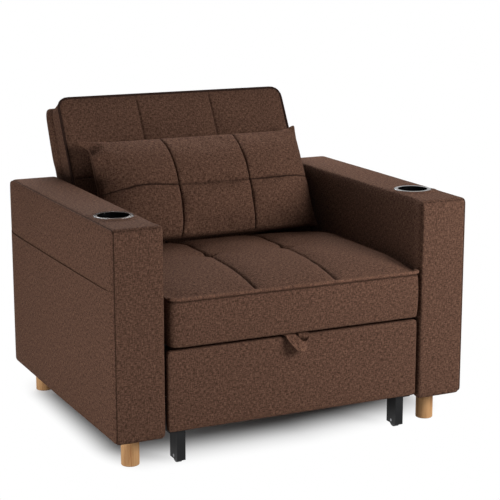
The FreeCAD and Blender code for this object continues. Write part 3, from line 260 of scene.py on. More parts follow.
class Cover:
    """Closed sewn cover in its own plan (u, v) and height w: face panel, rings of boxing, back panel.

    Each pair from boxing is a distance out from the face's edge line, or a step for each of its points, and a
    height; the last pair is the back's edge.
    """

    cloth_settings = {
        "quality": 6, "mass": 0.25, "tension_stiffness": 25, "compression_stiffness": 25,
        "shear_stiffness": 12, "bending_stiffness": 4, "tension_damping": 10, "compression_damping": 10,
        "shear_damping": 10, "air_damping": 3, "use_pressure": True,
    }

    def __init__(self, us, vs, radii, face_height, boxing, back_height, reshape=None):
        plan = np.stack(np.meshgrid(us, vs, indexing="ij"), -1)
        plan = round_corners(plan, radii)
        if reshape is not None:
            plan = reshape(plan)
        index = np.arange(len(us) * len(vs)).reshape(len(us), len(vs))
        edge = round_the_edge(index)
        flat = plan.reshape(-1, 2)
        self.line = flat[edge]
        self.outward = edge_outward(self.line)
        face = np.column_stack([flat, face_height(flat)])
        *rings, hem = [np.column_stack([self.line + self._outset(out), np.broadcast_to(w, len(edge))])
                       for out, w in boxing(self.line)]
        back = np.column_stack([flat, back_height(flat)])
        back[edge] = hem
        self.face, self.edge = index, edge
        self.rings = [len(face) + k * len(edge) + np.arange(len(edge)) for k in range(len(rings))]
        self.back = index + len(face) + len(rings) * len(edge)
        self.points = np.vstack([face, *rings, back])
        # How far the seam colour darkens each point: seam lines with painted shade of their grooves, and
        # painted shade in creases and folds.
        self.seam = np.zeros(len(self.points))
        self.us, self.vs = us, vs
        self._sew(plan)

    def _outset(self, out):
        return out if np.ndim(out) == 2 else self.outward * np.reshape(out, (-1, 1))

    def _sew(self, plan):
        """Quads and their fabric coordinates, in metres."""
        quads, cloth = [], []
        flat = plan.reshape(-1, 2)
        i = self.face
        for panel, turn in ((i, 1), (self.back, -1)):
            corners = np.stack([panel[:-1, :-1], panel[1:, :-1], panel[1:, 1:], panel[:-1, 1:]], -1)
            places = np.stack([i[:-1, :-1], i[1:, :-1], i[1:, 1:], i[:-1, 1:]], -1)
            quads.append(corners.reshape(-1, 4)[:, ::turn])
            cloth.append(flat[places].reshape(-1, 4, 2)[:, ::turn])
        step = np.linalg.norm(np.roll(self.line, -1, 0) - self.line, axis=1)
        start = np.concatenate([[0.0], np.cumsum(step)[:-1]])
        levels = [self.edge, *self.rings, self.back.reshape(-1)[self.edge]]
        drop = 0.0
        for upper, lower in zip(levels, levels[1:]):
            fall = float(np.linalg.norm(self.points[upper] - self.points[lower], axis=1).mean())
            quads.append(np.stack([upper, lower, np.roll(lower, -1), np.roll(upper, -1)], -1))
            high, low = np.full(len(start), -drop), np.full(len(start), -drop - fall)
            cloth.append(np.stack([np.stack([start, high], -1), np.stack([start, low], -1),
                                   np.stack([start + step, low], -1), np.stack([start + step, high], -1)], 1))
            drop += fall
        self.quads, self.cloth = np.concatenate(quads), np.concatenate(cloth)

    def column(self, u):
        """Points of the face along the grid line at u."""
        return self.face[int(np.argmin(np.abs(self.us - u)))]

    def row(self, v):
        """Points of the face along the grid line at v."""
        return self.face[:, int(np.argmin(np.abs(self.vs - v)))]

    def as_object(self, name, matrix=None, mirror=False):
        """Mesh object of the cover, placed by a matrix and mirrored across the chair where asked."""
        points, quads, cloth = self.points, self.quads, self.cloth
        if matrix is not None:
            points = points @ np.array(matrix.to_3x3()).T + np.array(matrix.translation)
        if mirror:
            points, quads, cloth = points * (-1, 1, 1), quads[:, ::-1], cloth[:, ::-1]
        return new_piece(name, points.tolist(), quads.tolist(), cloth, self.seam)

    def sewn_down(self):
        """1 at each point that the filling can't move: the face's edge, the boxing and the back."""
        held = np.zeros(len(self.points))
        held[self.face.size:] = 1.0
        held[self.edge] = 1.0
        return held

    def fill(self, held, pressure, slack, cap, frames):
        """Swells the cover by its filling, as cloth under pressure that is held where it is sewn down."""
        obj = self.as_object("filling")
        group = obj.vertex_groups.new(name="sewn")
        group.add(np.flatnonzero(held).tolist(), 1.0, "REPLACE")
        cloth = obj.modifiers.new("filling", "CLOTH")
        settings = cloth.settings
        for key, value in self.cloth_settings.items():
            setattr(settings, key, value)
        settings.uniform_pressure_force = pressure
        settings.shrink_min = settings.shrink_max = -slack
        settings.vertex_group_mass = group.name
        settings.effector_weights.gravity = 0.0
        cloth.collision_settings.use_collision = False
        scene = bpy.context.scene
        for step in range(1, frames + 1):
            scene.frame_set(step)
        swelled = obj.evaluated_get(bpy.context.evaluated_depsgraph_get())
        moved = np.empty(len(self.points) * 3, np.float32)
        swelled.data.vertices.foreach_get("co", moved)
        scene.frame_set(1)
        bpy.data.objects.remove(obj, do_unlink=True)
        move = moved.reshape(-1, 3) - self.points
        far = np.maximum(np.linalg.norm(move, axis=1), 1e-9)
        self.points = self.points + move * np.minimum(1.0, cap / far)[:, None]


def refine(obj):
    """One subdivision, applied."""
    obj.modifiers.new("finer", "SUBSURF").levels = 1
    old = obj.data
    finer = bpy.data.meshes.new_from_object(obj.evaluated_get(bpy.context.evaluated_depsgraph_get()))
    obj.modifiers.clear()
    obj.data = finer
    bpy.data.meshes.remove(old)
    finer.name = obj.name
    return obj


def sweep(name, rows, pitch, along, closed=False, turn=1):
    """Piece through rows of points, capped at its ends unless it is closed.

    Pitch and along are its fabric coordinates, round a row and from row to row; a turn of -1 flips its faces.
    """
    count, sides = len(rows), len(rows[0])
    quads, cloth = [], []
    for k in range(count if closed else count - 1):
        for n in range(sides):
            first, *others = (n, k), (n + 1, k), (n + 1, k + 1), (n, k + 1)
            corners = (first, *others[::turn])
            quads.append([y % count * sides + x % sides for x, y in corners])
            cloth += [(x * pitch, along[y]) for x, y in corners]
    if not closed:
        quads += [range(sides)[::-turn], range((count - 1) * sides, count * sides)[::turn]]
        cloth += [(0.0, 0.0)] * (2 * sides)
    points = [point for row in rows for point in row]
    return new_piece(name, points, quads, cloth, np.zeros(len(points)))


def tube(name, path, radius, closed, sides=10):
    """Round cord of fabric along a path of points."""
    path = [Vector(p) for p in path]
    count = len(path)
    angles = [2 * math.pi * n / sides for n in range(sides)]
    rows, along = [], [0.0]
    side = None
    for k, p in enumerate(path):
        before = path[k - 1] if closed or k > 0 else path[0]
        after = path[(k + 1) % count] if closed or k < count - 1 else path[-1]
        run = (after - before).normalized()
        side = run.orthogonal().normalized() if side is None else side
        side = (side - run * side.dot(run)).normalized()
        up = run.cross(side)
        rows.append([p + (side * math.cos(a) + up * math.sin(a)) * radius for a in angles])
        along.append(along[-1] + (path[(k + 1) % count] - p).length)
    return sweep(name, rows, 2 * math.pi * radius / sides, along, closed)


def fit(obj, body, material, *nodes):
    """Gives a finished fabric piece its material, sets it on its body and lets it stand for its nodes."""
    obj.data.materials.clear()
    obj.data.materials.append(material)
    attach(obj, body)
    if nodes:
        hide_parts(*nodes)


def upholster(piece, body, node, material=None):
    """Finishes a padded piece that stands for a node."""
    fit(piece, body, material or fabric(), node)


def leaned():
    """Matrix from the back lying flat on its hinge line to the back as it stands."""
    lean = math.radians(RECLINE["range_deg"][1])
    return Matrix.Translation(RECLINE["pos_m"]) @ Matrix.Rotation(lean, 4, "X")


# Materials

def linear(seen):
    """Linear colour with full alpha for a colour as it is seen."""
    return (*[c / 12.92 if c <= 0.04045 else ((c + 0.055) / 1.055) ** 2.4 for c in seen], 1.0)


def toned(base, tone):
    """Colour times a tone."""
    return tuple(min(1.0, c * tone) for c in base)


class Nodes:
    """Short calls for the nodes of a tree."""

    def __init__(self, tree):
        self.tree = tree

    def feed(self, socket, value):
        """Links another node's output to a socket, or sets a constant there."""
        if isinstance(value, NodeSocket):
            self.tree.links.new(value, socket)
        else:
            socket.default_value = value

    def node(self, kind, **values):
        """New node with its settings, and its inputs fed."""
        made = self.tree.nodes.new("ShaderNode" + kind)
        for key, value in values.items():
            if hasattr(made, key):
                setattr(made, key, value)
            else:
                self.feed(made.inputs[key.replace("_", " ")], value)
        return made

    def result(self, kind, operation, *values, output=0):
        """Output of a Math or VectorMath node."""
        made = self.node(kind, operation=operation)
        for socket, value in zip(made.inputs, values):
            self.feed(socket, value)
        return made.outputs[output]


class Finish(Nodes):
    """A material in the making."""

    def __init__(self, name):
        self.material = bpy.data.materials.new(name)
        self.material.use_nodes = True
        super().__init__(self.material.node_tree)
        self.shader = self.tree.nodes["Principled BSDF"]

    def shade(self, **values):
        """Feeds inputs of the shader."""
        for key, value in values.items():
            self.feed(self.shader.inputs[key.replace("_", " ")], value)

    def coordinates(self, kind, scale, rotation=(0, 0, 0)):
        """Texture coordinates of a kind, scaled and turned."""
        source = self.node("TexCoord").outputs[kind]
        return self.node("Mapping", Vector=source, Scale=scale, Rotation=rotation).outputs["Vector"]

    def noise(self, vector, scale, detail=2.0, roughness=0.5):
        made = self.node("TexNoise", Vector=vector, Scale=scale, Detail=detail, Roughness=roughness)
        return made.outputs["Fac"]

    def math(self, operation, *values):
        return self.result("Math", operation, *values)

    def ramp(self, factor, *stops):
        """Colour ramp through (place, colour) stops; a plain number stands for a grey."""
        made = self.node("ValToRGB", Fac=factor)
        elements = made.color_ramp.elements
        while len(elements) < len(stops):
            elements.new(0.5)
        for element, (place, value) in zip(elements, stops):
            element.position = place
            element.color = value if isinstance(value, tuple) else (value, value, value, 1.0)
        return made.outputs["Color"]

    def mix(self, factor, a, b, blend="MIX"):
        """Mixed colour of a and b."""
        made = self.node("Mix", data_type="RGBA", blend_type=blend)
        colours = [socket for socket in made.inputs if socket.type == "RGBA"]
        for socket, value in zip((made.inputs[0], *colours), (factor, a, b)):
            self.feed(socket, value)
        return next(socket for socket in made.outputs if socket.type == "RGBA")

    def bump(self, height, distance, strength):
        made = self.node("Bump", Height=height, Distance=distance, Strength=strength)
        self.shade(Normal=made.outputs["Normal"])


def woven(name, light, middle, dark):
    """Plain weave of slubby yarns, darkened by the seam attribute: seam lines with painted shade of their
    grooves, and painted shade in creases and folds.
    """
    s = bpy.context.scene.chair_fabric
    f = Finish(name)
    yarn, slub = 1.0 / s.yarn, 1.0 / s.slub
    weft = f.noise(f.coordinates("UV", (slub, yarn * 0.5, 1.0)), 1.0, 2.0, 0.6)
    warp = f.noise(f.coordinates("UV", (yarn * 0.5, slub, 1.0)), 1.0, 2.0, 0.6)
    yarns = ((0.30, dark), (0.5, middle), (0.72, light))
    crossings = f.coordinates("UV", (yarn, yarn, 1.0))
    checks = f.node("TexChecker", Vector=crossings, Scale=1.0).outputs["Fac"]
    cloth = f.mix(checks, f.ramp(weft, *yarns), f.ramp(warp, *yarns))
    patches = f.noise(f.coordinates("Object", (1.0, 1.0, 1.0)), 5.0, 3.0, 0.6)
    cloth = f.mix(0.35, cloth, f.ramp(patches, (0.3, 0.80), (0.7, 1.0)), "MULTIPLY")
    # Seam attribute: seam lines with painted shade of their grooves, and painted shade in creases and folds.
    seam_and_crease_shade = f.node("Attribute", attribute_name="seam").outputs["Fac"]
    rough = f.node("MapRange", Value=weft, To_Min=0.78, To_Max=0.95).outputs["Result"]
    f.shade(Base_Color=f.mix(seam_and_crease_shade, cloth, linear(s.seam)), Roughness=rough, Specular_IOR_Level=0.02)
    threads = [f.node("TexWave", wave_type="BANDS", bands_direction=direction, Vector=crossings, Scale=0.5,
                      Distortion=0.6, Detail=1.0).outputs["Fac"] for direction in ("X", "Y")]
    relief = f.math("ADD", f.math("MAXIMUM", *threads), f.math("MULTIPLY", weft, 0.8))
    f.bump(relief, 0.0005, 0.55)
    return f.material


def cloth_of(name, shades):
    """Woven fabric of a light, a middle and a dark shade, made once."""
    return bpy.data.materials.get(name) or woven(name, *[linear(shade) for shade in shades])


def fabric(name="brown_upholstery", paleness=1.0):
    """Brown upholstery, paler where asked."""
    s = bpy.context.scene.chair_fabric
    return cloth_of(name, [toned(shade, paleness) for shade in (s.light, s.middle, s.dark)])


def painted_highlight_fabric():
    """Brown fabric made paler for the seat's welt and the pull strap: painted highlight for the light on
    their raised faces.
    """
    return fabric("pale_welt", bpy.context.scene.chair_fabric.welt)


def pillow_fabric_painted_light():
    """Fabric of the loose pillow, made paler as painted light on its front."""
    return fabric("pillow_cloth", bpy.context.scene.chair_fabric.pillow)


def piping_fabric():
    """Darker piping of the back."""
    base = bpy.context.scene.chair_fabric.piping
    return cloth_of("dark_piping", [toned(base, tone) for tone in (1.2, 1.0, 0.7)])


def grained_wood(name, pale, dark, stretch, gloss, turn=(0, 0, 0)):
    """Wood with grain lines along the least stretched axis of its own coordinates, turned where asked."""
    f = Finish(name)
    vector = f.coordinates("Object", stretch, turn)
    grain = f.noise(vector, 1.0, 5.0, 0.62)
    fine = f.noise(vector, 5.0, 3.0, 0.7)
    lines = f.math("ADD", f.math("MULTIPLY", grain, 0.7), f.math("MULTIPLY", fine, 0.3))
    tint = f.ramp(lines, (0.34, linear(dark)), (0.52, linear(pale)), (0.75, toned(linear(pale), 1.12)))
    f.shade(Base_Color=tint, Roughness=f.math("MULTIPLY_ADD", fine, gloss, 0.5), Specular_IOR_Level=0.4)
    f.bump(lines, 0.0004, 0.35)
    return f.material


def ribbed_webbing(name, base):
    """Elastic webbing with ribs across."""
    f = Finish(name)
    vector = f.coordinates("Object", (1, 1, 1))
    ribs = f.node("TexWave", wave_type="BANDS", bands_direction="X", Vector=vector, Scale=60.0,
                  Distortion=0.5).outputs["Fac"]
    f.shade(Base_Color=f.ramp(ribs, (0.2, toned(linear(base), 0.6)), (0.8, linear(base))), Roughness=0.85)
    f.bump(ribs, 0.0006, 0.5)
    return f.material


def speckled(name, base, marks, tones, rough, relief=None, **constants):
    """Hard finish whose tone and roughness follow marks.

    Marks are a noise: its stretch, scale, detail and roughness. Tones and rough are stops in it, as shares of
    the base colour and as roughness. Relief is a noise with its depth and strength.
    """
    f = Finish(name)
    stretch, *kind = marks
    spots = f.noise(f.coordinates("Object", stretch), *kind)
    tint = f.ramp(spots, *[(place, toned(linear(base), tone)) for place, tone in tones])
    f.shade(Base_Color=tint, Roughness=f.ramp(spots, *rough), **constants)
    if relief:
        (stretch, *kind), depth, strength = relief
        f.bump(f.noise(f.coordinates("Object", stretch), *kind), depth, strength)
    return f.material


# Cushions

def boxed_cushion(node, welt_height, edge_rise, crown, tufts, welted_run, fullness):
    """Boxed cushion with a crowned, channelled and tufted top; returns its cover and the line of its welt.

    The welt runs along the front and a welted run round its corners, the other edges are rounded off.
    """
    s = bpy.context.scene.chair_padding
    low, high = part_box(node)
    inset, pitch, under = 0.004, 0.0125, low.z - 0.0004
    half, front, rear = high.x - inset, low.y + inset, high.y - inset
    run = rear - front
    seams = (-s.seam_offset, s.seam_offset)
    us = grid_lines(-half, half, pitch, NEAR_SEAM, seams)
    vs = grid_lines(front, rear, pitch, NEAR_SEAM, [front + tuft for tuft in tufts])

    def edge_height(v):
        t = (v - front) / run
        return welt_height + edge_rise * smooth_step(t / 0.32) * (1 - 0.5 * smooth_step((t - 0.85) / 0.15))

    def welted(v):
        return 1 - smooth_step((v - front - welted_run) / 0.02)

    def face_height(plan):
        u, v = plan[:, 0], plan[:, 1]
        t = (v - front) / run
        rise = 1 - (1 - np.clip(t / 0.55, 0, 1)) ** 2.6
        fall = 1 - 0.45 * smooth_step((t - 0.8) / 0.2)
        top = welt_height + crown * rise * fall
        across = 1 - np.abs(u / half) ** 2.4
        return edge_height(v) + (top - edge_height(v)) * across - 0.003 * smooth_step(t / 0.04)

    def boxing(line):
        z = edge_height(line[:, 1])
        deep = z - low.z
        sewn = welted(line[:, 1])

        def ring(welt_out, welt_drop, round_out, round_drop):
            return round_out + (welt_out - round_out) * sewn, z - round_drop - (welt_drop - round_drop) * sewn

        swell = [(0.004 + 0.003 * math.sin(math.pi * part), z - deep * part)
                 for part in (0.18, 0.34, 0.5, 0.68, 0.84)]
        return [ring(0.0026, 0.0016, 0.0014, 0.0010), ring(0.0034, 0.0046, 0.0026, 0.0034),
                ring(0.0010, 0.0062, 0.0036, 0.0066), ring(0.0040, 0.0080, 0.0042, 0.0110),
                *swell, (0.0040, low.z + 0.006), (0.0032, low.z + 0.0018), (0.0012, under)]

    corners = (s.seat_corner, s.seat_corner * 0.6, 0.016, 0.016)
    cover = Cover(us, vs, corners, face_height, boxing, level(under))
    held = cover.sewn_down()
    for seam in seams:
        line = cover.column(seam)
        v = cover.points[line, 1]
        t = (v - front) / run
        drawn = s.seam_depth * smooth_step(t / 0.04) * smooth_step((1.02 - t) / 0.05)
        for tuft in tufts:
            drawn = drawn + s.tuft_depth * bell(v - front - tuft, 0.034)
        cover.points[line, 2] -= drawn
        inner = line[(t > 0.004) & (t < 0.99)]
        held[inner] = 1.0
        # Channel line darkened: seam line with painted shade of its groove.
        cover.seam[inner] = 1.0
        for tuft in tufts:
            away = np.hypot(cover.points[:, 0] - seam, cover.points[:, 1] - front - tuft)
            button = np.flatnonzero(away[:cover.face.size] < 0.009)
            bottom = np.intersect1d(line, cover.row(front + tuft))
            cover.points[button, 2] = cover.points[bottom, 2] + 0.001
            held[button] = 1.0
    stitched = welted(cover.line[:, 1])
    # Drawn-in ring under the welt darkened: seam line with painted shade of the groove.
    cover.seam[cover.rings[2]] = 0.8 * stitched
    cover.fill(held, s.pressure * fullness, 0.008 * fullness, 0.024, 20)
    pucker_seams(cover, seams, 0.0010)
    for seam in seams:
        for tuft in tufts:
            crease_tuft(cover, seam, front + tuft)
    welt = cover.points[cover.rings[0]]
    if stitched.min() < 0.05:
        first = int(np.flatnonzero((stitched > 0.3) & (np.roll(stitched, 1) <= 0.3))[0])
        kept = (first + np.arange(int((stitched > 0.3).sum()))) % len(stitched)
        welt = welt[kept] - 0.007 * (1 - stitched[kept])[:, None] * (0, 0, 1)
    return cover, welt


def crease_tuft(cover, u, v):
    """Short crease across the face at a tuft, longer to the right, with painted shade along it."""
    line = cover.row(v)
    away = cover.points[line, 0] - u
    fold = np.where(away > 0, bell(away, 0.030), bell(away, 0.012)) * (np.abs(away) > 0.001)
    cover.points[line, 2] -= 0.0045 * fold
    # Painted shade in the crease.
    cover.seam[line] = np.maximum(cover.seam[line], 0.55 * fold)


def pucker_seams(cover, seams, depth):
    """Small gathers of cloth along stitched channels of the face panel."""
    ids = cover.face.ravel()
    u, v = cover.points[ids, 0], cover.points[ids, 1]
    for k, seam in enumerate(seams):
        away = np.abs(u - seam)
        gather = ripples(np.column_stack([np.full(len(v), k * 3.0), v, np.sign(u - seam)]), 0.014, 3 + k)
        fade = bell(away - 0.012, 0.012) * (away > 0.001)
        cover.points[ids, 2] += depth * gather * fade


class CHAIR_OT_seat(Operator):
    """Seat cushion: boxed, welted, crowned, with two stitched channels and their tufts"""
    bl_idname = "sleeper_chair.seat"
    bl_label = "Seat cushion"

    welted_run, fullness = 0.018, 0.75
    narrowing, shift = 0.990, 0.0045
    welt_offset = (0, -0.0018, 0.0030)

    def execute(self, context):
        s = context.scene.chair_padding
        cover, welt = boxed_cushion("seat_cushion", s.seat_welt, s.seat_edge_rise, s.seat_crown,
                                    (s.tuft_place,), self.welted_run, self.fullness)
        for points in (cover.points, welt):
            points[:, 0] = points[:, 0] * self.narrowing + self.shift
        upholster(refine(cover.as_object("seat_cover")), "chair", "seat_cushion")
        welt = welt + self.welt_offset
        welt[:, 2] += 0.0008 * ripples(welt, 0.05, 12)
        # The welt's paler fabric is a painted highlight.
        fit(tube("seat_welt", welt, s.welt, False), "chair", painted_highlight_fabric())
        return {"FINISHED"}


class CHAIR_OT_pad(Operator):
    """Pad of the pull-out: boxed and welted, with two stitched channels of two tufts each"""
    bl_idname = "sleeper_chair.pad"
    bl_label = "Pull-out pad"

    welt_drop, crown, fullness = 0.011, 0.007, 0.6
    tuft_shares = (0.33, 0.67)
    thin_welt = 0.8

    def execute(self, context):
        s = context.scene.chair_padding
        low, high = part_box("pad_cushion")
        run = high.y - low.y
        cover, welt = boxed_cushion("pad_cushion", high.z - self.welt_drop, 0.0, self.crown,
                                    [run * part for part in self.tuft_shares], run, self.fullness)
        upholster(refine(cover.as_object("pad_cover")), "pull_out", "pad_cushion")
        fit(tube("pad_welt", welt, s.welt * self.thin_welt, True), "pull_out", fabric())
        return {"FINISHED"}


class CHAIR_OT_back(Operator):
    """Back: padded front with stitched channels and piping, and firm rear cover"""
    bl_idname = "sleeper_chair.back"
    bl_label = "Back"

    # Places up the back from its hinge line
    foot, row_seam, bulge_start, rear_break, top = -0.020, 0.237, 0.27, 0.300, 0.480
    # Heights over the plane through the hinge line, of the front and, seen from behind, of the rear
    edge, parting, rear_low, rear_high = 0.046, -0.020, 0.090, 0.066
    crown, lap, overhang, rear_belly = 0.007, 0.0004, 0.007, 0.005
    left_bulge, right_bulge = 0.0115, 0.0085
    foot_radius, top_radius = 0.008, 0.028

    def execute(self, context):
        self.front(context.scene.chair_padding)
        self.rear()
        return {"FINISHED"}

    def front(self, s):
        inset, pitch = 0.004, 0.0125
        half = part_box("back_cushion")[1].x - inset
        foot, top = self.foot + inset, self.top - inset
        seams = (-s.seam_offset, s.seam_offset)
        us = grid_lines(-half, half, pitch, NEAR_SEAM, seams)
        vs = grid_lines(foot, top, pitch, NEAR_SEAM, (self.row_seam,))

        def shares(points):
            """Place in the panel, -1 to 1 both ways."""
            return points[:, 0] / half, (points[:, 1] - foot) / (top - foot) * 2 - 1

        def face_height(plan):
            u, v = shares(plan)
            return self.edge + self.crown * ((1 - np.abs(u) ** 6) * (1 - np.abs(v) ** 6)) ** 0.6

        def boxing(line):
            deep = self.edge - self.parting
            body = [(0.004, self.edge - deep * part) for part in (0.2, 0.4, 0.6, 0.8)]
            return [(0.0020, self.edge - 0.0012), (0.0036, self.edge - 0.0036), (0.0022, self.edge - 0.0058),
                    (0.0040, self.edge - 0.0086), *body, (0.0040, self.parting + 0.003),
                    (0.0026, self.parting + self.lap)]

        radii = (self.foot_radius, self.foot_radius, self.top_radius, self.top_radius)
        cover = Cover(us, vs, radii, face_height, boxing, level(self.parting + self.lap))
        held = cover.sewn_down()
        lines = [(cover.column(seam), 1) for seam in seams] + [(cover.row(self.row_seam), 0)]
        for line, way in lines:
            along = np.abs(shares(cover.points[line])[way])
            cover.points[line, 2] -= s.seam_depth * 0.6 * smooth_step((1 - along) / 0.07)
            inner = line[along < 0.985]
            held[inner] = 1.0
            # Channel lines darkened: seam line with painted shade of the groove.
            cover.seam[inner] = 0.42
        # Drawn-in ring behind the piping darkened: seam line with painted shade of the groove.
        cover.seam[cover.rings[2]] = 0.9
        cover.fill(held, s.pressure * 0.5, 0.006, 0.022, 18)
        pucker_seams(cover, seams, 0.0010)
        upholster(refine(cover.as_object("back_front", leaned())), "back", "back_cushion")
        path = [leaned() @ Vector(p) for p in cover.points[cover.rings[0]] + (0, 0, 0.0006)]
        fit(tube("back_piping", path, s.piping, True), "back", piping_fabric())

    def rear(self):
        inset, pitch, seam_drop = 0.005, 0.018, 0.0135
        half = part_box("back_shell")[1].x - inset
        foot, top = self.foot + inset, self.top + self.overhang - inset
        us = grid_lines(-half, half, pitch, NEAR_EDGE)
        vs = grid_lines(foot, top, pitch, NEAR_EDGE, (self.rear_break,))

        def rear_height(v):
            slope = (self.rear_low - self.rear_high) / (self.top + self.overhang - self.rear_break)
            turn = 0.03
            past = np.log1p(np.exp((v - self.rear_break) / turn)) * turn
            return self.rear_low - slope * past + self.rear_belly * bell(v - 0.36, 0.10)

        def face_height(plan):
            edge = from_edge(plan, -half, half, foot, top)
            return rear_height(plan[:, 1]) - 0.0015 - 0.002 * np.exp(-edge / 0.012)

        def boxing(line):
            z, end = rear_height(line[:, 1]), -self.parting
            near_line = edge_line(us, vs, (0.006, 0.006, self.top_radius, self.top_radius))
            near_line[:, 1] -= self.overhang * smooth_step((near_line[:, 1] - top + 0.04) / 0.03)
            centre = np.array((0.0, (foot + top) / 2))
            grow = (near_line - centre) * (inset / np.array((half, (top - foot) / 2)))
            step = near_line + grow - line
            outward = edge_outward(line)
            start = 0.0045 * outward
            bulge = np.where(line[:, 0] > 0, self.left_bulge, self.right_bulge)[:, None]
            sides = np.abs(outward[:, 0]) * smooth_step((line[:, 1] - self.bulge_start) / 0.06)
            full = outward * sides[:, None]
            rings = [(0.0020, z - 0.0055), (0.0034, z - 0.0085), (0.0028, z - 0.0105),
                     (0.0042, z - seam_drop)]
            for part in (0.25, 0.5, 0.75, 0.96):
                out = start + (step - start) * part + bulge * math.sin(math.pi * part) * full
                rings.append((out, z - seam_drop - (z - seam_drop - end) * part))
            return [*rings, (step - 0.0014 * edge_outward(near_line), end + self.lap)]

        radii = (self.foot_radius, self.foot_radius, 0.010, 0.010)
        cover = Cover(us, vs, radii, face_height, boxing, level(-self.parting + self.lap))
        # Drawn-in ring of the rear seam darkened: seam line with painted shade of the groove.
        cover.seam[cover.rings[2]] = 0.8
        cover.points[:, 2] += 0.0007 * ripples(cover.points, 0.09, 5)
        turned = leaned() @ Matrix.Diagonal((-1, 1, -1, 1))
        upholster(refine(cover.as_object("back_rear", turned)), "back", "back_shell")


class CHAIR_OT_pillow(Operator):
    """Loose back pillow, sewn in two rows of three fields"""
    bl_idname = "sleeper_chair.pillow"
    bl_label = "Back pillow"

    foot, top, half, middle = 0.014, 0.3275, 0.328, 0.1125
    front_swell, rear_swell, seam_gap = 0.080, 0.054, 0.002
    front_blunt, rear_blunt = 0.45, 0.05
    seam_offset, row_seam, ear_reach = 0.112, 0.158, 0.020
    left_draw, right_draw, top_draw = 0.052, 0.026, 0.069

    def execute(self, context):
        s = context.scene.chair_padding
        seams = (-self.seam_offset, self.seam_offset)
        us = grid_lines(-self.half, self.half, 0.0115, NEAR_SEAM, seams)
        vs = grid_lines(self.foot, self.top, 0.0115, NEAR_SEAM, (self.row_seam,))
        cover = Cover(us, vs, (0.006,) * 4, self.front_height, self.edge_rings, self.rear_height, self.eared)
        held = cover.sewn_down()
        for line in (*[cover.column(seam) for seam in seams], cover.row(self.row_seam)):
            height = cover.points[line, 2] - self.middle
            cover.points[line, 2] -= 0.009 * smooth_step(height / 0.04)
            held[line] = 1.0
            between = np.abs(cover.points[line, 0]) < self.seam_offset - 0.004
            # Channel lines darkened, more outside the middle fields: seam line with painted shade of the
            # groove.
            cover.seam[line] = np.where(between, 0.5, 0.95) * smooth_step(height / 0.02)
        cover.seam[cover.rings[1]] = 0.6
        cover.fill(held, s.pressure * 1.2, 0.02, 0.028, 22)
        pucker_seams(cover, seams, 0.0016)
        self.gather_edges(cover)
        self.fold_ear(cover)
        set_off = leaned() @ Matrix.Translation((s.pillow_shift, 0, 0))
        pillow = refine(cover.as_object("pillow_cover", set_off))
        # The pillow's paler fabric is painted light.
        upholster(pillow, "pillow", "back_pillow", pillow_fabric_painted_light())
        return {"FINISHED"}

    def shares(self, plan):
        """Place in the pillow: -1 to 1 across, 0 at the foot to 1 at the top."""
        return plan[..., 0] / self.half, (plan[..., 1] - self.foot) / (self.top - self.foot)

    def eared(self, plan):
        """Sides and top drawn in between the corners, which stand out as ears, with puckered sides."""
        u, t = self.shares(plan)
        tall = self.top - self.foot
        side = np.where(u < 0, self.left_draw, self.right_draw) * (1 - np.abs(t * 2 - 1) ** 5)
        places = np.column_stack([t.ravel(), np.sign(u).ravel(), 0 * u.ravel()])
        pinch = ripples(places, 0.055, 9).reshape(u.shape)
        side = side + 0.009 * pinch * smooth_step((np.abs(u) - 0.85) / 0.15)
        ear = smooth_step((-u - 0.80) / 0.20) * smooth_step((t - 0.89) / 0.07)
        drop = self.top_draw * (1 - np.abs(u) ** 8) * smooth_step(t)
        bow = 0.009 * bell(u + 0.66, 0.22) - 0.004 * smooth_step((-u - 0.85) / 0.15)
        bow = bow + 0.005 * smooth_step((u - 0.4) / 0.5)
        row = bell(t - (self.row_seam - self.foot) / tall, 0.3)
        across = u * (1 - side) * self.half - self.ear_reach * ear
        return np.stack([across, plan[..., 1] - drop * tall + bow * row], -1)

    def swell(self, plan, blunt):
        """Share of the swell: 0 at the sewn edges, 1 in the middle; a blunt foot starts with a share."""
        u, t = self.shares(plan)
        across = np.clip(1 - (np.abs(u) / 0.985) ** 5, 0, 1) ** 0.7
        rising = blunt + (1 - blunt) * np.sin(np.pi / 2 * np.clip(t / 0.5, 0, 1)) ** 0.55
        falling = np.cos(np.pi / 2 * np.clip((t - 0.5) / 0.465, 0, 1)) ** 0.6
        return across * np.where(t < 0.5, rising, falling)

    def front_height(self, plan):
        return self.middle + self.seam_gap + self.front_swell * self.swell(plan, self.front_blunt)

    def rear_height(self, plan):
        return self.middle - self.seam_gap - self.rear_swell * self.swell(plan, self.rear_blunt)

    def edge_rings(self, line):
        front, rear = self.front_height(line), self.rear_height(line)
        rounding = ((0.0022, 0.25), (0.0026, 0.5), (0.0022, 0.75))
        return [*[(out, front + (rear - front) * part) for out, part in rounding], (0.0, rear)]

    def gather_edges(self, cover):
        """Gathers that run in from the sewn edge of the pillow."""
        ids = cover.face.ravel()
        u, v = cover.points[ids, 0], cover.points[ids, 1]
        side = self.half - np.abs(u)
        gather_side = ripples(np.column_stack([np.sign(u), v, 0 * v]), 0.013, 21)
        gather_end = ripples(np.column_stack([u, 0 * v, 0 * v]), 0.018, 23)
        cover.points[ids, 2] += 0.0040 * gather_side * bell(side - 0.030, 0.024)
        cover.points[ids, 2] += 0.0022 * gather_end * bell(self.top - v - 0.030, 0.020)

    def fold_ear(self, cover):
        """Fold below the ear at the top left, darkened with painted shade."""
        ids = cover.face.ravel()
        u, t = self.shares(cover.points[ids])
        u, t = u + 0.93, t - 0.88
        fold = bell(u + t * 0.5, 0.055) * bell(t - u * 0.7, 0.035)
        cover.points[ids, 2] -= 0.018 * fold
        # Painted shade in the fold.
        cover.seam[ids] = np.maximum(cover.seam[ids], 0.9 * fold)


# Arms, pockets, front panel

